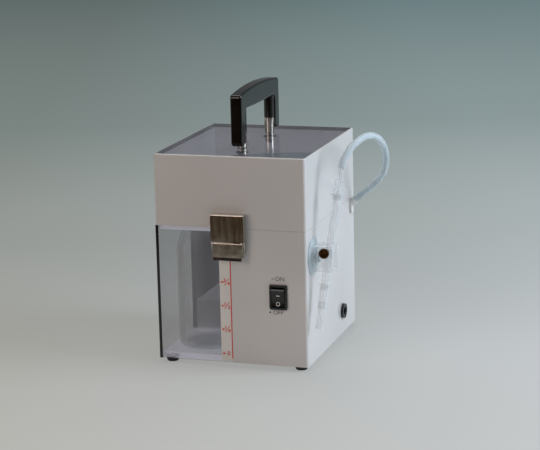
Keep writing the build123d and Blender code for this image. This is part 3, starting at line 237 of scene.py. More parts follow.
def make_finishes(look):
    """Every material of the object, by the record's slot or by its own name."""
    made = {}
    # Opal cast acrylic sheet: white, polished, faintly uneven from casting, with wipe marks; its inner faces
    # carry a painted glow that stands in for daylight scattered through the sheet
    made["white_acrylic"] = principled(
        "opal_cast_acrylic", lambda t: tone(t, look.white_low, look.white_high, 9.0),
        lambda t: patterned(t, 0.07, 0.13, 14.0, 4.0).outputs[0], ior=1.49,
        normal=lambda t: grain(t, 22.0, 0.05, 0.0004), Coat_Weight=0.35, Coat_Roughness=0.04,
        Emission_Color=colour("#dfe2f4"), Emission_Strength=lambda t: painted_glow_inside(t, look.painted_inner_glow))
    # Smoked acrylic: a grey tint through the sheet under a polished face
    made["smoked_acrylic"] = principled(
        "smoked_cast_acrylic", lambda t: smoke_base(t, look), 0.04, ior=1.49,
        normal=lambda t: grain(t, 16.0, 0.03, 0.0004),
        Alpha=lambda t: add(t, "ShaderNodeMath", {
            0: sheet_edge(t), 1: look.smoke_alpha}, operation="MAXIMUM").outputs[0])
    # The lid's sheet: the same stock, darker in tint, mirroring the room at a low angle
    made["smoked_top"] = principled(
        "smoked_top_acrylic", lambda t: tone(t, "#5c5f66", "#686b72", 7.0), 0.05, ior=1.49,
        normal=lambda t: grain(t, 14.0, 0.03, 0.0004), Alpha=look.top_alpha)
    # Clear acrylic divider: polished faces
    made["clear_acrylic"] = principled(
        "clear_cast_acrylic", "#e6ecea", 0.03, ior=1.49, normal=lambda t: grain(t, 18.0, 0.02, 0.0003),
        Alpha=0.16)
    # Nitrile rubber: moulded matt black with a dusty bloom
    made["black_rubber"] = principled(
        "black_nitrile_rubber", lambda t: tone(t, "#0d0d0d", "#1b1b1a", 120.0),
        lambda t: patterned(t, 0.62, 0.82, 200.0).outputs[0], ior=1.52,
        normal=lambda t: grain(t, 900.0, 0.3, 0.0001))
    # Black ABS: 0.4 mm spark-eroded texture under a fairly tight gloss
    made["black_plastic"] = principled(
        "black_moulded_abs", lambda t: tone(t, "#040404", "#0b0b0a", 60.0),
        lambda t: patterned(t, 0.14, 0.22, 90.0).outputs[0], ior=1.54,
        normal=lambda t: grain(t, 2400.0, 0.12, 0.00005))
    # White polypropylene: moulded, waxy; inside the case it carries a painted glow that stands in for
    # daylight through the opal sheet
    made["white_plastic"] = principled(
        "white_polypropylene", lambda t: tone(t, "#dcdad4", "#e8e6e0", 30.0),
        lambda t: patterned(t, 0.32, 0.42, 80.0).outputs[0], ior=1.49,
        normal=lambda t: grain(t, 1500.0, 0.06, 0.00005),
        Subsurface_Weight=0.1, Subsurface_Radius=(0.002, 0.002, 0.002),
        Emission_Color=colour("#dad4dc"), Emission_Strength=lambda t: painted_glow_inside(t, look.painted_inner_glow * 0.6))
    # Nickel-plated pressed steel: bright and a little wavy from the press
    made["nickel_steel"] = principled(
        "nickel_plated_steel", lambda t: tone(t, "#b9b3a8", "#d6d1c8", 45.0, 3.0),
        lambda t: patterned(t, 0.10, 0.20, 260.0, 4.0, (1.0, 1.0, 0.1)).outputs[0], metallic=1.0,
        normal=lambda t: grain(t, 70.0, 0.18, 0.0004))
    # Zinc-plated steel: a dull grey crystal plate
    made["zinc_steel"] = principled(
        "zinc_plated_steel", lambda t: tone(t, "#8f8e89", "#b4b2ac", 300.0),
        lambda t: patterned(t, 0.28, 0.42, 400.0).outputs[0], metallic=1.0,
        normal=lambda t: grain(t, 1200.0, 0.1, 0.00005))
    # Darkened brass thumb screw: oily brown plate with wear
    made["bronze_screw"] = principled(
        "darkened_brass", lambda t: tone(t, "#2c1d12", "#5d4026", 500.0),
        lambda t: patterned(t, 0.25, 0.4, 400.0).outputs[0], metallic=1.0)
    # Borosilicate glass jar: clear, faintly wavy
    made["borosilicate"] = principled(
        "borosilicate_glass", "#e9f0ef", 0.02, ior=1.47, normal=lambda t: grain(t, 35.0, 0.05, 0.0003),
        Alpha=lambda t: edged(t, 0.05, 0.75))
    # Platinum-cured silicone tube: milky, soft gloss
    made["silicone"] = principled(
        "translucent_silicone", lambda t: tone(t, "#cfdde2", "#dbe6e9", 60.0),
        lambda t: patterned(t, 0.30, 0.40, 90.0).outputs[0], ior=1.41,
        Alpha=lambda t: edged(t, 0.36, 0.72))
    # Clear moulded polycarbonate: bright edges, weak body
    made["clear_moulding"] = principled(
        "clear_polycarbonate", lambda t: tone(t, "#dfe5e6", "#eff3f3", 60.0), 0.06, ior=1.58,
        normal=lambda t: grain(t, 120.0, 0.05, 0.0002),
        Alpha=lambda t: edged(t, 0.06, 0.85))
    # Printed foil round a dry cell, with a copper-coloured end band
    made["cell_wrap"] = make_cell_wrap()
    # Drawn steel motor can: fine lines round the can
    made["motor_steel"] = principled(
        "drawn_steel_can", lambda t: tone(t, "#8d8b86", "#a9a7a1", 60.0),
        lambda t: patterned(t, 0.25, 0.4, 700.0, 2.0, (1.0, 0.05, 1.0)).outputs[0], metallic=1.0)
    # Screen-printed inks and the matt vinyl strip
    made["red_ink"] = principled("red_screen_ink", lambda t: tone(t, "#d2331f", "#dd4630", 400.0), 0.5)
    made["black_ink"] = principled("black_screen_ink", lambda t: tone(t, "#3a332f", "#4a423d", 400.0), 0.5)
    made["white_ink"] = principled("white_pad_ink", lambda t: tone(t, "#d8d8d4", "#ececea", 400.0), 0.5)
    made["strip_vinyl"] = principled(
        "white_vinyl_strip", lambda t: tone(t, "#dfdcd6", "#e8e6e1", 40.0), 0.38, ior=1.5)
    # The shadow inside a screw's cross recess
    made["recess_dark"] = principled("recess_shadow", lambda t: tone(t, "#0b0a09", "#1a1917", 500.0), 0.6)
    # Music wire: the latch's spring
    made["spring_wire"] = principled(
        "spring_wire", lambda t: tone(t, "#7d7a74", "#a09c94", 500.0), 0.25, metallic=1.0)
    return made


def make_cell_wrap():
    """Black foil with a warm band at the cells' rear end."""
    material, tree, out = new_material("dry_cell_foil")
    place = add(tree, "ShaderNodeTexCoord")
    parts = add(tree, "ShaderNodeSeparateXYZ", {"Vector": place.outputs["Object"]})
    band = add(tree, "ShaderNodeMath", {0: parts.outputs["Y"], 1: CELL_BAND_Y}, operation="GREATER_THAN")
    mix = add(tree, "ShaderNodeMix", data_type="RGBA")
    tree.links.new(band.outputs[0], mix.inputs[0])
    mix.inputs[6].default_value = colour("#1b1d20")
    mix.inputs[7].default_value = colour("#a8683c")
    rough = patterned(tree, 0.22, 0.34, 200.0)
    shader = add(tree, "ShaderNodeBsdfPrincipled", {
        "Base Color": mix.outputs[2], "Roughness": rough.outputs[0], "Metallic": 0.6})
    tree.links.new(shader.outputs[0], out.inputs["Surface"])
    return material


MADE = {}


# Settings that a user changes
class AspiratorFinishSettings(bpy.types.PropertyGroup):
    """Colours and tints of the sheets."""
    white_low: bpy.props.StringProperty(
        name="White, low", description="Darker tone of the white sheet",
        default="#cfcdca")
    white_high: bpy.props.StringProperty(
        name="White, high", description="Lighter tone of the white sheet",
        default="#d8d6d3")
    smoke_low: bpy.props.StringProperty(
        name="Smoke, low", description="Darker tone of the smoked sheet",
        default="#757684")
    smoke_high: bpy.props.StringProperty(
        name="Smoke, high", description="Lighter tone of the smoked sheet",
        default="#80828f")
    smoke_alpha: bpy.props.FloatProperty(
        name="Window tint", description="How much each face of the window holds back",
        default=0.16, min=0, max=1, subtype="FACTOR")
    # Strength of the painted glow on the inner faces, standing in for daylight through the opal sheet
    painted_inner_glow: bpy.props.FloatProperty(
        name="Light through the sheet", description="Glow of the opal sheet's inner faces",
        default=0.22, min=0, max=2)
    top_alpha: bpy.props.FloatProperty(
        name="Lid tint", description="How much each face of the lid's sheet holds back",
        default=0.46, min=0, max=1, subtype="FACTOR")


class AspiratorHoseSettings(bpy.types.PropertyGroup):
    """Sizes of the soft hose."""
    outer: bpy.props.FloatProperty(
        name="Outer radius", description="Outside radius of the hose",
        default=0.003, min=0.001, unit="LENGTH")
    bore: bpy.props.FloatProperty(
        name="Bore radius", description="Inside radius of the hose",
        default=0.002, min=0.0005, unit="LENGTH")
    sides: bpy.props.IntProperty(
        name="Sides", description="Facets round the hose",
        default=28, min=8, max=64)


class AspiratorMarkSettings(bpy.types.PropertyGroup):
    """Sizes of the printed marks."""
    text_height: bpy.props.FloatProperty(
        name="Lettering", description="Height of ON and OFF",
        default=0.0037, min=0.001, unit="LENGTH")
    scale_text: bpy.props.FloatProperty(
        name="Scale numbers", description="Height of the fractions",
        default=0.0042, min=0.001, unit="LENGTH")
    line: bpy.props.FloatProperty(
        name="Line", description="Width of the scale's line",
        default=0.0009, min=0.0001, unit="LENGTH")
    recess: bpy.props.FloatProperty(
        name="Screw recess", description="Length of a cross recess",
        default=0.0024, min=0.0005, unit="LENGTH")


class AspiratorStageSettings(bpy.types.PropertyGroup):
    """Studio light."""
    key_power: bpy.props.FloatProperty(
        name="Key", description="Power of the side lamp",
        default=33.0, min=0, unit="POWER")
    top_power: bpy.props.FloatProperty(
        name="Top", description="Power of the overhead lamp",
        default=12.0, min=0, unit="POWER")
    front_power: bpy.props.FloatProperty(
        name="Front", description="Power of the lamp before the window",
        default=8.5, min=0, unit="POWER")
    fill: bpy.props.FloatProperty(
        name="Fill", description="Strength of the room light",
        default=0.24, min=0, max=2)


# Pieces
class ASPIRATOR_OT_finishes(bpy.types.Operator):
    """Make every finish and put it on the CAD nodes by their record slot"""
    bl_idname = "aspirator.finishes"
    bl_label = "Finishes"

    def execute(self, context):
        MADE.update(make_finishes(context.scene.aspirator_finish))
        for entry in frame["record"]["subparts"]:
            node = frame["nodes"][entry["node"]]
            node.data.materials.clear()
            node.data.materials.append(MADE[entry["material_slot"]])
        return {"FINISHED"}


# The hose's spline, in millimetres from the case's middle: control points fitted so that the centre
# line follows the loop seen in the photo; its depth between the two ends is a guess
HOSE_ROUTE = [
    (70.053, 61.5, 117.048), (77.405, 61.5, 123.668), (97.927, 59.427, 137.043),
    (102.218, 45.789, 165.562), (101.025, 18.812, 182.079), (97.657, -21.48, 189.785),
    (85.94, -35.679, 174.114), (85.059, -38.322, 164.326),
]


def route_points(name, route):
    """Points along the smooth spline through a route's control points."""
    data = bpy.data.curves.new(name, "CURVE")
    data.dimensions = "3D"
    data.resolution_u = 14
    spline = data.splines.new("NURBS")
    spline.points.add(len(route) - 1)
    for point, (x, y, z) in zip(spline.points, route):
        point.co = (x * MM, y * MM, z * MM, 1.0)
    spline.order_u = 4
    spline.use_endpoint_u = True
    line = bpy.data.objects.new(name, data)
    bpy.context.collection.objects.link(line)
    bpy.context.view_layer.update()
    graph = bpy.context.evaluated_depsgraph_get()
    mesh = bpy.data.meshes.new_from_object(line.evaluated_get(graph))
    points = [v.co.copy() for v in mesh.vertices]
    bpy.data.objects.remove(line, do_unlink=True)
    bpy.data.meshes.remove(mesh)
    return points


def tube_mesh(points, outer, bore, sides):
    """Vertices and faces of a hollow tube along points, with square ends."""
    verts, faces = [], []
    ahead = (points[1] - points[0]).normalized()
    across = ahead.orthogonal().normalized()
    count = len(points)
    for i, point in enumerate(points):
        before, after = points[max(i - 1, 0)], points[min(i + 1, count - 1)]
        new_ahead = (after - before).normalized()
        across = (ahead.rotation_difference(new_ahead) @ across)
        across = (across - new_ahead * across.dot(new_ahead)).normalized()
        ahead = new_ahead
        other = ahead.cross(across)
        for radius in (outer, bore):
            for k in range(sides):
                angle = 2 * math.pi * k / sides
                verts.append(point + (across * math.cos(angle) + other * math.sin(angle)) * radius)
    ring = 2 * sides
    for i in range(count - 1):
        for k in range(sides):
            n = (k + 1) % sides
            a, b, c, d = i * ring + k, i * ring + n, (i + 1) * ring + n, (i + 1) * ring + k
            faces.append((a, b, c, d))
            faces.append((d + sides, c + sides, b + sides, a + sides))
    last = (count - 1) * ring
    for k in range(sides):
        n = (k + 1) % sides
        faces.append((k, k + sides, n + sides, n))
        faces.append((last + k, last + n, last + n + sides, last + k + sides))
    return verts, faces


class ASPIRATOR_OT_hose(bpy.types.Operator):
    """Make the soft hose from the port to the handpiece"""
    bl_idname = "aspirator.hose"
    bl_label = "Hose"

    def execute(self, context):
        sizes = context.scene.aspirator_hose
        points = route_points("hose_line", HOSE_ROUTE)
        verts, faces = tube_mesh(points, sizes.outer, sizes.bore, sizes.sides)
        hose = mesh_piece("soft_hose", verts, faces, MADE["silicone"], None, smooth=True)
        points = [point + CASE_AT for point in points]
        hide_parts("hose")
        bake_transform(hose)
        return {"FINISHED"}


def lettering(name, words, height, where, material, body, weight=0.0):
    """Raised print on the front, standing in the XZ plane, facing the user."""
    data = bpy.data.curves.new(name, "FONT")
    data.body = words
    data.size = height * SIZE_PER_HEIGHT
    data.align_x = "CENTER"
    data.align_y = "CENTER"
    data.extrude = PRINT_T * MM / 2
    data.offset = weight
    data.resolution_u = 3
    thing = bpy.data.objects.new(name, data)
    bpy.context.collection.objects.link(thing)
    thing.matrix_world = Matrix.Translation(Vector(where) + CASE_AT) @ Matrix.Rotation(math.pi / 2, 4, "X")
    bpy.context.view_layer.update()
    return dress(baked(thing, name), material, body)


def printed(name, outline, y0, y1, material, body):
    """A thin flat mark on the front from an outline in the XZ plane, in millimetres."""
    count = len(outline)
    verts = [(x * MM, y * MM, z * MM) for y in (y0, y1) for x, z in outline]
    faces = [tuple(range(count)), tuple(range(2 * count - 1, count - 1, -1))]
    faces += [(i, count + i, count + (i + 1) % count, (i + 1) % count) for i in range(count)]
    return mesh_piece(name, verts, faces, material, body)


def plate(name, x0, x1, y0, y1, z0, z1, material, body):
    """A thin plate with its edges broken."""
    verts = [(x * MM, y * MM, z * MM) for x in (x0, x1) for y in (y0, y1) for z in (z0, z1)]
    faces = [(0, 1, 3, 2), (4, 6, 7, 5), (0, 4, 5, 1), (2, 3, 7, 6), (0, 2, 6, 4), (1, 5, 7, 3)]
    piece = mesh_piece(name, verts, faces, material, body)
    edge = piece.modifiers.new("edge", "BEVEL")
    edge.width = min(x1 - x0, y1 - y0, z1 - z0) * MM * 0.3
    edge.segments = 2
    return piece


class ASPIRATOR_OT_scale(bpy.types.Operator):
    """Make the fill scale beside the window: strip, line, arrows and fractions"""
    bl_idname = "aspirator.scale"
    bl_label = "Fill scale"

    def execute(self, context):
        marks = context.scene.aspirator_marks
        face = FRONT - STRIP_T
        plate("scale_strip", STRIP_LEFT, STRIP_RIGHT, face, FRONT, STRIP_LOW, STRIP_HIGH,
              MADE["strip_vinyl"], "case")
        plate("scale_line", LINE_LEFT, LINE_LEFT + marks.line / MM, face - INK_T, face, LINE_LOW, LINE_HIGH,
              MADE["red_ink"], "case")
        for k, (words, z, size) in enumerate(SCALE_MARKS):
            where = (NUMBER_X * MM, (face - INK_T / 2) * MM, z * MM)
            lettering(f"scale_number_{k}", words, marks.scale_text * size, where,
                      MADE["red_ink"], "case", weight=0.00008)
            outline = [(x, z + dz) for x, dz in ARROW]
            printed(f"scale_arrow_{k}", outline, face - INK_T, face, MADE["red_ink"], "case")
        return {"FINISHED"}


class ASPIRATOR_OT_words(bpy.types.Operator):
    """Print ON with its dash and OFF with its dot by the switch"""
    bl_idname = "aspirator.words"
    bl_label = "Switch words"

    def execute(self, context):
        marks = context.scene.aspirator_marks
        for name, words, x, z, mark_left in SWITCH_WORDS:
            lettering(name, words, marks.text_height, (x * MM, (FRONT - PRINT_T / 2) * MM, z * MM),
                      MADE["black_ink"], "case")
            left = x - mark_left
            if words == "ON":
                mark = [(left + dx, z + dz) for dx, dz in DASH]
            else:
                turns = [2 * math.pi * i / 20 for i in range(20)]
                mark = [(left + DOT_R * math.cos(a), z + DOT_R * math.sin(a)) for a in turns]
            printed(name + "_mark", mark, FRONT - PRINT_T, FRONT, MADE["black_ink"], "case")
        return {"FINISHED"}


def on_rocker(x, dz, lift):
    """A point on the rocker's hollow face, tilted with it to its rest."""
    y = DISH_AXIS_Y + math.sqrt(DISH_R ** 2 - dz ** 2) - lift - SWITCH_PIVOT[1]
    angle = math.radians(ROCKER_REST)
    return Vector((
        (SWITCH_PIVOT[0] + x) * MM,
        (SWITCH_PIVOT[1] + y * math.cos(angle) - dz * math.sin(angle)) * MM,
        (SWITCH_PIVOT[2] + y * math.sin(angle) + dz * math.cos(angle)) * MM))


class ASPIRATOR_OT_rocker_marks(bpy.types.Operator):
    """Print the line and the ring on the rocker's two ends"""
    bl_idname = "aspirator.rocker_marks"
    bl_label = "Rocker marks"

    def execute(self, context):
        steps = 8
        verts = [on_rocker(x, BAR_LOW + BAR_T * i / steps, lift) for lift in (MARK_LIFT, 0.0)
                 for i in range(steps + 1) for x in (-BAR_HALF, BAR_HALF)]
        half = 2 * (steps + 1)
        faces = []
        for i in range(steps):
            a = 2 * i
            faces += [(a, a + 1, a + 3, a + 2), (half + a, half + a + 2, half + a + 3, half + a + 1)]
            faces += [(a, a + 2, half + a + 2, half + a), (a + 1, half + a + 1, half + a + 3, a + 3)]
        faces += [(0, half, half + 1, 1), (half - 2, half - 1, 2 * half - 1, 2 * half - 2)]
        mesh_piece("rocker_line", verts, faces, MADE["white_ink"], "rocker")
        sides = 36
        ring = ((RING_OUT, MARK_LIFT), (RING_IN, MARK_LIFT), (RING_IN, 0.0), (RING_OUT, 0.0))
        turns = [2 * math.pi * k / sides for k in range(sides)]
        verts = [on_rocker(radius * math.cos(a), radius * math.sin(a) - RING_DOWN, lift)
                 for radius, lift in ring for a in turns]
        faces = [(r * sides + k, r * sides + (k + 1) % sides, ((r + 1) % 4) * sides + (k + 1) % sides,
                  ((r + 1) % 4) * sides + k) for r in range(4) for k in range(sides)]
        mesh_piece("rocker_ring", verts, faces, MADE["white_ink"], "rocker")
        return {"FINISHED"}


def node_group(name, sockets):
    """An empty geometry tree with named inputs, its input and output nodes."""
    tree = bpy.data.node_groups.new(name, "GeometryNodeTree")
    tree.interface.new_socket("Geometry", in_out="INPUT", socket_type="NodeSocketGeometry")
    for label, kind, value in sockets:
        made = tree.interface.new_socket(label, in_out="INPUT", socket_type=kind)
        made.default_value = value
    tree.interface.new_socket("Geometry", in_out="OUTPUT", socket_type="NodeSocketGeometry")
    return tree, add(tree, "NodeGroupInput"), add(tree, "NodeGroupOutput")


def set_input(modifier, label, value):
    """Sets a modifier's input by its socket's identifier."""
    for item in modifier.node_group.interface.items_tree:
        if item.name == label and item.in_out == "INPUT" and item.socket_type != "NodeSocketGeometry":
            modifier[item.identifier] = value


def recess_shade_tree(material):
    """A thin dark cross on every point, turned to face out of the screw's head: painted shade standing in for
    a cross recess.
    """
    tree, given, out = node_group("painted_recess_shade", [
        ("Length", "NodeSocketFloat", 0.0024), ("Width", "NodeSocketFloat", 0.0006),
        ("Turn", "NodeSocketVector", (0.0, 0.0, 0.0))])
    flat = 0.00006
    arms = []
    for first, second in (("Length", "Width"), ("Width", "Length")):
        size = add(tree, "ShaderNodeCombineXYZ", {
            "X": given.outputs[first], "Y": given.outputs[second], "Z": flat})
        arms.append(add(tree, "GeometryNodeMeshCube", {"Size": size.outputs[0]}))
    cross = add(tree, "GeometryNodeJoinGeometry")
    for arm in arms:
        tree.links.new(arm.outputs["Mesh"], cross.inputs[0])
    spread = add(tree, "GeometryNodeInstanceOnPoints", {
        "Points": given.outputs["Geometry"], "Instance": cross.outputs[0],
        "Rotation": given.outputs["Turn"]})
    real = add(tree, "GeometryNodeRealizeInstances", {"Geometry": spread.outputs[0]})
    painted = add(tree, "GeometryNodeSetMaterial", {"Geometry": real.outputs[0], "Material": material})
    tree.links.new(painted.outputs[0], out.inputs["Geometry"])
    return tree


def head_points(node, axis, side):
    """The centre of each screw head's outer face, found from the node's own mesh."""
    mesh = frame["nodes"][node].data
    level = max(v.co[axis] * side for v in mesh.vertices)
    flats = [i for i in range(3) if i != axis]
    groups = []
    for v in mesh.vertices:
        if level - v.co[axis] * side > HEAD_DEEP:
            continue
        for group in groups:
            if all(abs(v.co[i] - group[0][i]) < HEAD_NEAR for i in flats):
                group.append(v.co)
                break
        else:
            groups.append([v.co.copy()])
    found = []
    for group in groups:
        middle = Vector((0, 0, 0))
        for i in flats:
            middle[i] = (min(p[i] for p in group) + max(p[i] for p in group)) / 2
        middle[axis] = side * level
        found.append(middle)
    return found


class ASPIRATOR_OT_screw_recesses(bpy.types.Operator):
    """Put a thin dark cross, the painted shade of a cross recess, on every screw head"""
    bl_idname = "aspirator.screw_recesses"
    bl_label = "Screw recesses"

    def execute(self, context):
        tree = recess_shade_tree(MADE["recess_dark"])
        length = context.scene.aspirator_marks.recess
        for node, axis, side, body in (
            ("foot_screws", 2, -1, "case"), ("hinge_lower_screws", 1, 1, "case"),
            ("hinge_upper_screws", 1, 1, "lid"), ("latch_screws", 1, -1, "case"),
            ("catch_screws", 1, -1, "lid"), ("pump_screws", 2, 1, "case"),
            ("pump_head_screws", 1, -1, "case"),
        ):
            data = bpy.data.meshes.new(node + "_recess")
            data.from_pydata([tuple(p) for p in head_points(node, axis, side)], [], [])
            spots = bpy.data.objects.new(node + "_recess", data)
            bpy.context.collection.objects.link(spots)
            modifier = spots.modifiers.new("recess", "NODES")
            modifier.node_group = tree
            set_input(modifier, "Length", length)
            set_input(modifier, "Width", length * 0.26)
            set_input(modifier, "Turn", (math.pi / 2, 0.0, 0.0) if axis == 1 else (0.0, 0.0, RECESS_TURN))
            bpy.context.view_layer.update()
            dress(baked(spots, node + "_cross"), MADE["recess_dark"], body)
        return {"FINISHED"}


def spring_tree(material):
    """A close-wound spring along X from a spiral, with round wire."""
    tree, given, out = node_group("torsion_spring", [
        ("Turns", "NodeSocketFloat", 9.0), ("Coil Radius", "NodeSocketFloat", 0.00155),
        ("Length", "NodeSocketFloat", 0.0062), ("Wire Radius", "NodeSocketFloat", 0.00028)])
    spiral = add(tree, "GeometryNodeCurveSpiral", {
        "Resolution": 24, "Rotations": given.outputs["Turns"], "Start Radius": given.outputs["Coil Radius"],
        "End Radius": given.outputs["Coil Radius"], "Height": given.outputs["Length"]})
    wire = add(tree, "GeometryNodeCurvePrimitiveCircle", {
        "Resolution": 10, "Radius": given.outputs["Wire Radius"]})
    tube = add(tree, "GeometryNodeCurveToMesh", {
        "Curve": spiral.outputs[0], "Profile Curve": wire.outputs[0], "Fill Caps": True})
    real = add(tree, "GeometryNodeRealizeInstances", {"Geometry": tube.outputs[0]})
    painted = add(tree, "GeometryNodeSetMaterial", {"Geometry": real.outputs[0], "Material": material})
    tree.links.new(painted.outputs[0], out.inputs["Geometry"])
    return tree


class ASPIRATOR_OT_latch_spring(bpy.types.Operator):
    """Wind the latch's torsion spring on its pivot pin"""
    bl_idname = "aspirator.latch_spring"
    bl_label = "Latch spring"

    def execute(self, context):
        data = bpy.data.meshes.new("latch_spring_seed")
        data.from_pydata([(0, 0, 0)], [], [])
        thing = bpy.data.objects.new("latch_spring_seed", data)
        bpy.context.collection.objects.link(thing)
        modifier = thing.modifiers.new("spring", "NODES")
        modifier.node_group = spring_tree(MADE["spring_wire"])
        where = Vector(SPRING_AT) * MM + CASE_AT
        thing.matrix_world = Matrix.Translation(where) @ Matrix.Rotation(math.pi / 2, 4, "Y")
        bpy.context.view_layer.update()
        dress(baked(thing, "latch_spring"), MADE["spring_wire"], "case", smooth=True)
        return {"FINISHED"}


# Camera, floor, room and lamps
AZIMUTH, ELEVATION, ROLL = 17.72, 12.82, 1.3136
CAMERA_AT = (0.47835, -1.46389, 0.45448)
CAMERA_LENS = 123.17


def floor_material():
    """Table board with painted light: pale near the object, lighter and bluer to the right towards the
    window, painted darker to grey-green far behind it.
    """
    material, tree, out = new_material("board_with_painted_light")
    place = add(tree, "ShaderNodeTexCoord")
    angle = math.radians(AZIMUTH)
    away = add(tree, "ShaderNodeVectorMath", {
        0: place.outputs["Object"], 1: (-math.sin(angle), math.cos(angle), 0.0)}, operation="DOT_PRODUCT")
    right = add(tree, "ShaderNodeVectorMath", {
        0: place.outputs["Object"], 1: (math.cos(angle), math.sin(angle), 0.0)}, operation="DOT_PRODUCT")
    depth = add(tree, "ShaderNodeMapRange", {
        "Value": away.outputs["Value"], "From Min": -0.4, "From Max": 3.0, "To Min": 0.0, "To Max": 1.0})
    # Painted light: the left ramp warmer and dimmer, the right ramp lighter and bluer towards the window,
    # both painted darker with distance
    painted_light_ramps = []
    for stops in (
        ((0.0, "#bcbab2"), (0.10, "#b4b3ab"), (0.235, "#989b96"), (0.45, "#7b8582"), (1.0, "#606c6a")),
        ((0.0, "#cdd0d0"), (0.10, "#c8cccd"), (0.235, "#aeb6b7"), (0.45, "#8b999a"), (1.0, "#677b7e")),
    ):
        ramp = add(tree, "ShaderNodeValToRGB", {"Fac": depth.outputs[0]})
        points = ramp.color_ramp.elements
        while len(points) < len(stops):
            points.new(0.5)
        for point, (at, value) in zip(points, stops):
            point.position, point.color = at, colour(value)
        painted_light_ramps.append(ramp)
    spread = add(tree, "ShaderNodeMapRange", {
        "Value": right.outputs["Value"], "From Min": -0.35, "From Max": 0.3, "To Min": 0.0, "To Max": 1.0})
    both = add(tree, "ShaderNodeMix", data_type="RGBA")
    tree.links.new(spread.outputs[0], both.inputs[0])
    tree.links.new(painted_light_ramps[0].outputs[0], both.inputs[6])
    tree.links.new(painted_light_ramps[1].outputs[0], both.inputs[7])
    # Camera, glossy and transmission rays see these colours mostly as a painted glow; near the object part of
    # the board stays lit by the lamps, with the object's shadow
    lit = add(tree, "ShaderNodeBsdfDiffuse", {"Color": both.outputs[2]})
    plain = add(tree, "ShaderNodeEmission", {"Color": both.outputs[2], "Strength": 1.0})
    reach = add(tree, "ShaderNodeVectorMath", {0: place.outputs["Object"]}, operation="LENGTH")
    fade = add(tree, "ShaderNodeMapRange", {
        "Value": reach.outputs["Value"], "From Min": 0.12, "From Max": 0.7, "To Min": 0.55, "To Max": 1.0},
        interpolation_type="SMOOTHSTEP")
    rays = add(tree, "ShaderNodeLightPath")
    seen = add(tree, "ShaderNodeMath", {
        0: rays.outputs["Is Camera Ray"], 1: rays.outputs["Is Glossy Ray"]}, operation="MAXIMUM")
    seen = add(tree, "ShaderNodeMath", {
        0: seen.outputs[0], 1: rays.outputs["Is Transmission Ray"]}, operation="MAXIMUM")
    factor = add(tree, "ShaderNodeMath", {0: seen.outputs[0], 1: fade.outputs[0]}, operation="MULTIPLY")
    board = add(tree, "ShaderNodeMixShader", {0: factor.outputs[0], 1: lit.outputs[0], 2: plain.outputs[0]})
    # Painted reflection: before the user, glossy rays find a dark brown glow on the board that stands in for
    # the dark room
    near = add(tree, "ShaderNodeMapRange", {
        "Value": away.outputs["Value"], "From Min": -0.28, "From Max": -0.42, "To Min": 0.0, "To Max": 1.0})
    dark = add(tree, "ShaderNodeEmission", {"Color": colour("#4a3a28"), "Strength": 0.7})
    painted_reflection_mask = add(tree, "ShaderNodeMath", {
        0: near.outputs[0], 1: rays.outputs["Is Glossy Ray"]}, operation="MULTIPLY")
    shader = add(tree, "ShaderNodeMixShader", {0: painted_reflection_mask.outputs[0], 1: board.outputs[0], 2: dark.outputs[0]})
    tree.links.new(shader.outputs[0], out.inputs["Surface"])
    return material


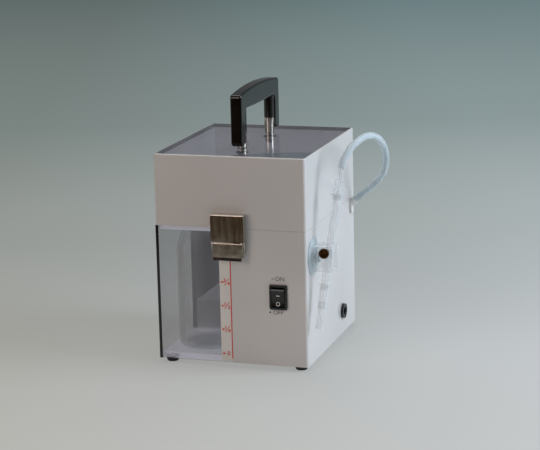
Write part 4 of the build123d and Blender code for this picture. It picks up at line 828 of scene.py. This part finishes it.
class ASPIRATOR_OT_studio(bpy.types.Operator):
    """Set up the camera, floor, room light and lamps"""
    bl_idname = "aspirator.studio"
    bl_label = "Studio"

    def execute(self, context):
        stage = context.scene.aspirator_stage
        a, e, r = (math.radians(v) for v in (AZIMUTH, ELEVATION, ROLL))
        back = Vector((math.sin(a) * math.cos(e), -math.cos(a) * math.cos(e), math.sin(e)))
        right = Vector((math.cos(a), math.sin(a), 0))
        up = back.cross(right)
        turned_right = right * math.cos(r) - up * math.sin(r)
        turned_up = right * math.sin(r) + up * math.cos(r)
        lens = bpy.data.cameras.new("camera")
        lens.lens, lens.sensor_width, lens.clip_end = CAMERA_LENS, 36.0, 60.0
        camera = bpy.data.objects.new("camera", lens)
        bpy.context.collection.objects.link(camera)
        turned = Matrix((turned_right, turned_up, back)).transposed().to_4x4()
        camera.matrix_world = Matrix.Translation(Vector(CAMERA_AT) + CASE_AT) @ turned
        context.scene.camera = camera

        size = 12.0
        data = bpy.data.meshes.new("floor")
        corners = [(-size, -size, 0), (size, -size, 0), (size, size, 0), (-size, size, 0)]
        data.from_pydata(corners, [], [(0, 1, 2, 3)])
        floor = bpy.data.objects.new("floor", data)
        bpy.context.collection.objects.link(floor)
        data.materials.append(floor_material())

        world = bpy.data.worlds.new("room")
        context.scene.world = world
        world.use_nodes = True
        tree = world.node_tree
        tree.nodes.clear()
        rays = add(tree, "ShaderNodeLightPath")
        place = add(tree, "ShaderNodeTexCoord")
        way = add(tree, "ShaderNodeSeparateXYZ", {"Vector": place.outputs["Generated"]})
        depth = add(tree, "ShaderNodeMapRange", {
            "Value": way.outputs["Y"], "From Min": -0.9, "From Max": 0.5}, interpolation_type="SMOOTHSTEP")
        side = add(tree, "ShaderNodeMapRange", {
            "Value": way.outputs["X"], "From Min": -0.2, "From Max": 0.9}, interpolation_type="SMOOTHSTEP")
        walls = add(tree, "ShaderNodeMix", data_type="RGBA")
        window = add(tree, "ShaderNodeMix", data_type="RGBA")
        for blend, factor, low, high in (
            (walls, depth.outputs[0], colour("#8a7b6f"), colour("#dcdfe0")),
            (window, side.outputs[0], walls.outputs[2], colour("#f0f5fb")),
        ):
            tree.links.new(factor, blend.inputs[0])
            for slot, value in ((6, low), (7, high)):
                if isinstance(value, bpy.types.NodeSocket):
                    tree.links.new(value, blend.inputs[slot])
                else:
                    blend.inputs[slot].default_value = value
        room = add(tree, "ShaderNodeBackground", {"Color": window.outputs[2], "Strength": stage.fill})
        mirrored = add(tree, "ShaderNodeMix", data_type="RGBA")
        tree.links.new(depth.outputs[0], mirrored.inputs[0])
        mirrored.inputs[6].default_value = colour("#2b2119")
        tree.links.new(window.outputs[2], mirrored.inputs[7])
        shiny = add(tree, "ShaderNodeBackground", {"Color": mirrored.outputs[2], "Strength": stage.fill})
        room = add(tree, "ShaderNodeMixShader", {
            0: rays.outputs["Is Glossy Ray"], 1: room.outputs[0], 2: shiny.outputs[0]})
        seen = add(tree, "ShaderNodeBackground", {"Color": colour("#5c6866"), "Strength": 1.0})
        mix = add(tree, "ShaderNodeMixShader", {
            0: rays.outputs["Is Camera Ray"], 1: room.outputs[0], 2: seen.outputs[0]})
        out = add(tree, "ShaderNodeOutputWorld", {"Surface": mix.outputs[0]})

        for name, at, width, power, tint in (
            ("key", (1.7, 0.15, 0.95), 1.0, stage.key_power, "#e6f0ff"),
            ("front", (-0.85, -1.65, 0.75), 1.0, stage.front_power, "#ffe8de"),
            ("overhead", (-0.2, 0.2, 1.9), 1.4, stage.top_power, "#ffffff"),
        ):
            lamp = bpy.data.lights.new(name, "AREA")
            lamp.shape, lamp.size, lamp.energy, lamp.color = "SQUARE", width, power, colour(tint)[:3]
            placed = bpy.data.objects.new(name, lamp)
            bpy.context.collection.objects.link(placed)
            aim = (Vector((0, 0, 0.1)) - Vector(at)).to_track_quat("-Z", "Y")
            placed.matrix_world = Matrix.Translation(at) @ aim.to_matrix().to_4x4()
        context.scene.view_settings.view_transform = "Standard"
        return {"FINISHED"}


class ASPIRATOR_PT_panel(bpy.types.Panel):
    """The pieces and their settings"""
    bl_idname = "ASPIRATOR_PT_panel"
    bl_label = "Aspirator"
    bl_space_type = "VIEW_3D"
    bl_region_type = "UI"
    bl_category = "Aspirator"

    def draw(self, context):
        for step in STEPS:
            self.layout.operator(step.bl_idname)
        for name, group in SETTINGS.items():
            box = self.layout.box()
            for key in group.__annotations__:
                box.prop(getattr(context.scene, name), key)


SETTINGS = {
    "aspirator_finish": AspiratorFinishSettings,
    "aspirator_hose": AspiratorHoseSettings,
    "aspirator_marks": AspiratorMarkSettings,
    "aspirator_stage": AspiratorStageSettings,
}
STEPS = [
    ASPIRATOR_OT_studio, ASPIRATOR_OT_finishes, ASPIRATOR_OT_hose, ASPIRATOR_OT_scale, ASPIRATOR_OT_words,
    ASPIRATOR_OT_rocker_marks, ASPIRATOR_OT_screw_recesses, ASPIRATOR_OT_latch_spring,
]
CLASSES = [*SETTINGS.values(), *STEPS, ASPIRATOR_PT_panel]


def register():
    for item in CLASSES:
        bpy.utils.register_class(item)
    for name, group in SETTINGS.items():
        setattr(bpy.types.Scene, name, bpy.props.PointerProperty(type=group))


def unregister():
    for name in SETTINGS:
        delattr(bpy.types.Scene, name)
    for item in reversed(CLASSES):
        bpy.utils.unregister_class(item)


def main():
    """Makes every piece in order."""
    register()
    for step in STEPS:
        space, call = step.bl_idname.split(".")
        getattr(getattr(bpy.ops, space), call)()


if __name__ == "__main__":
    main()
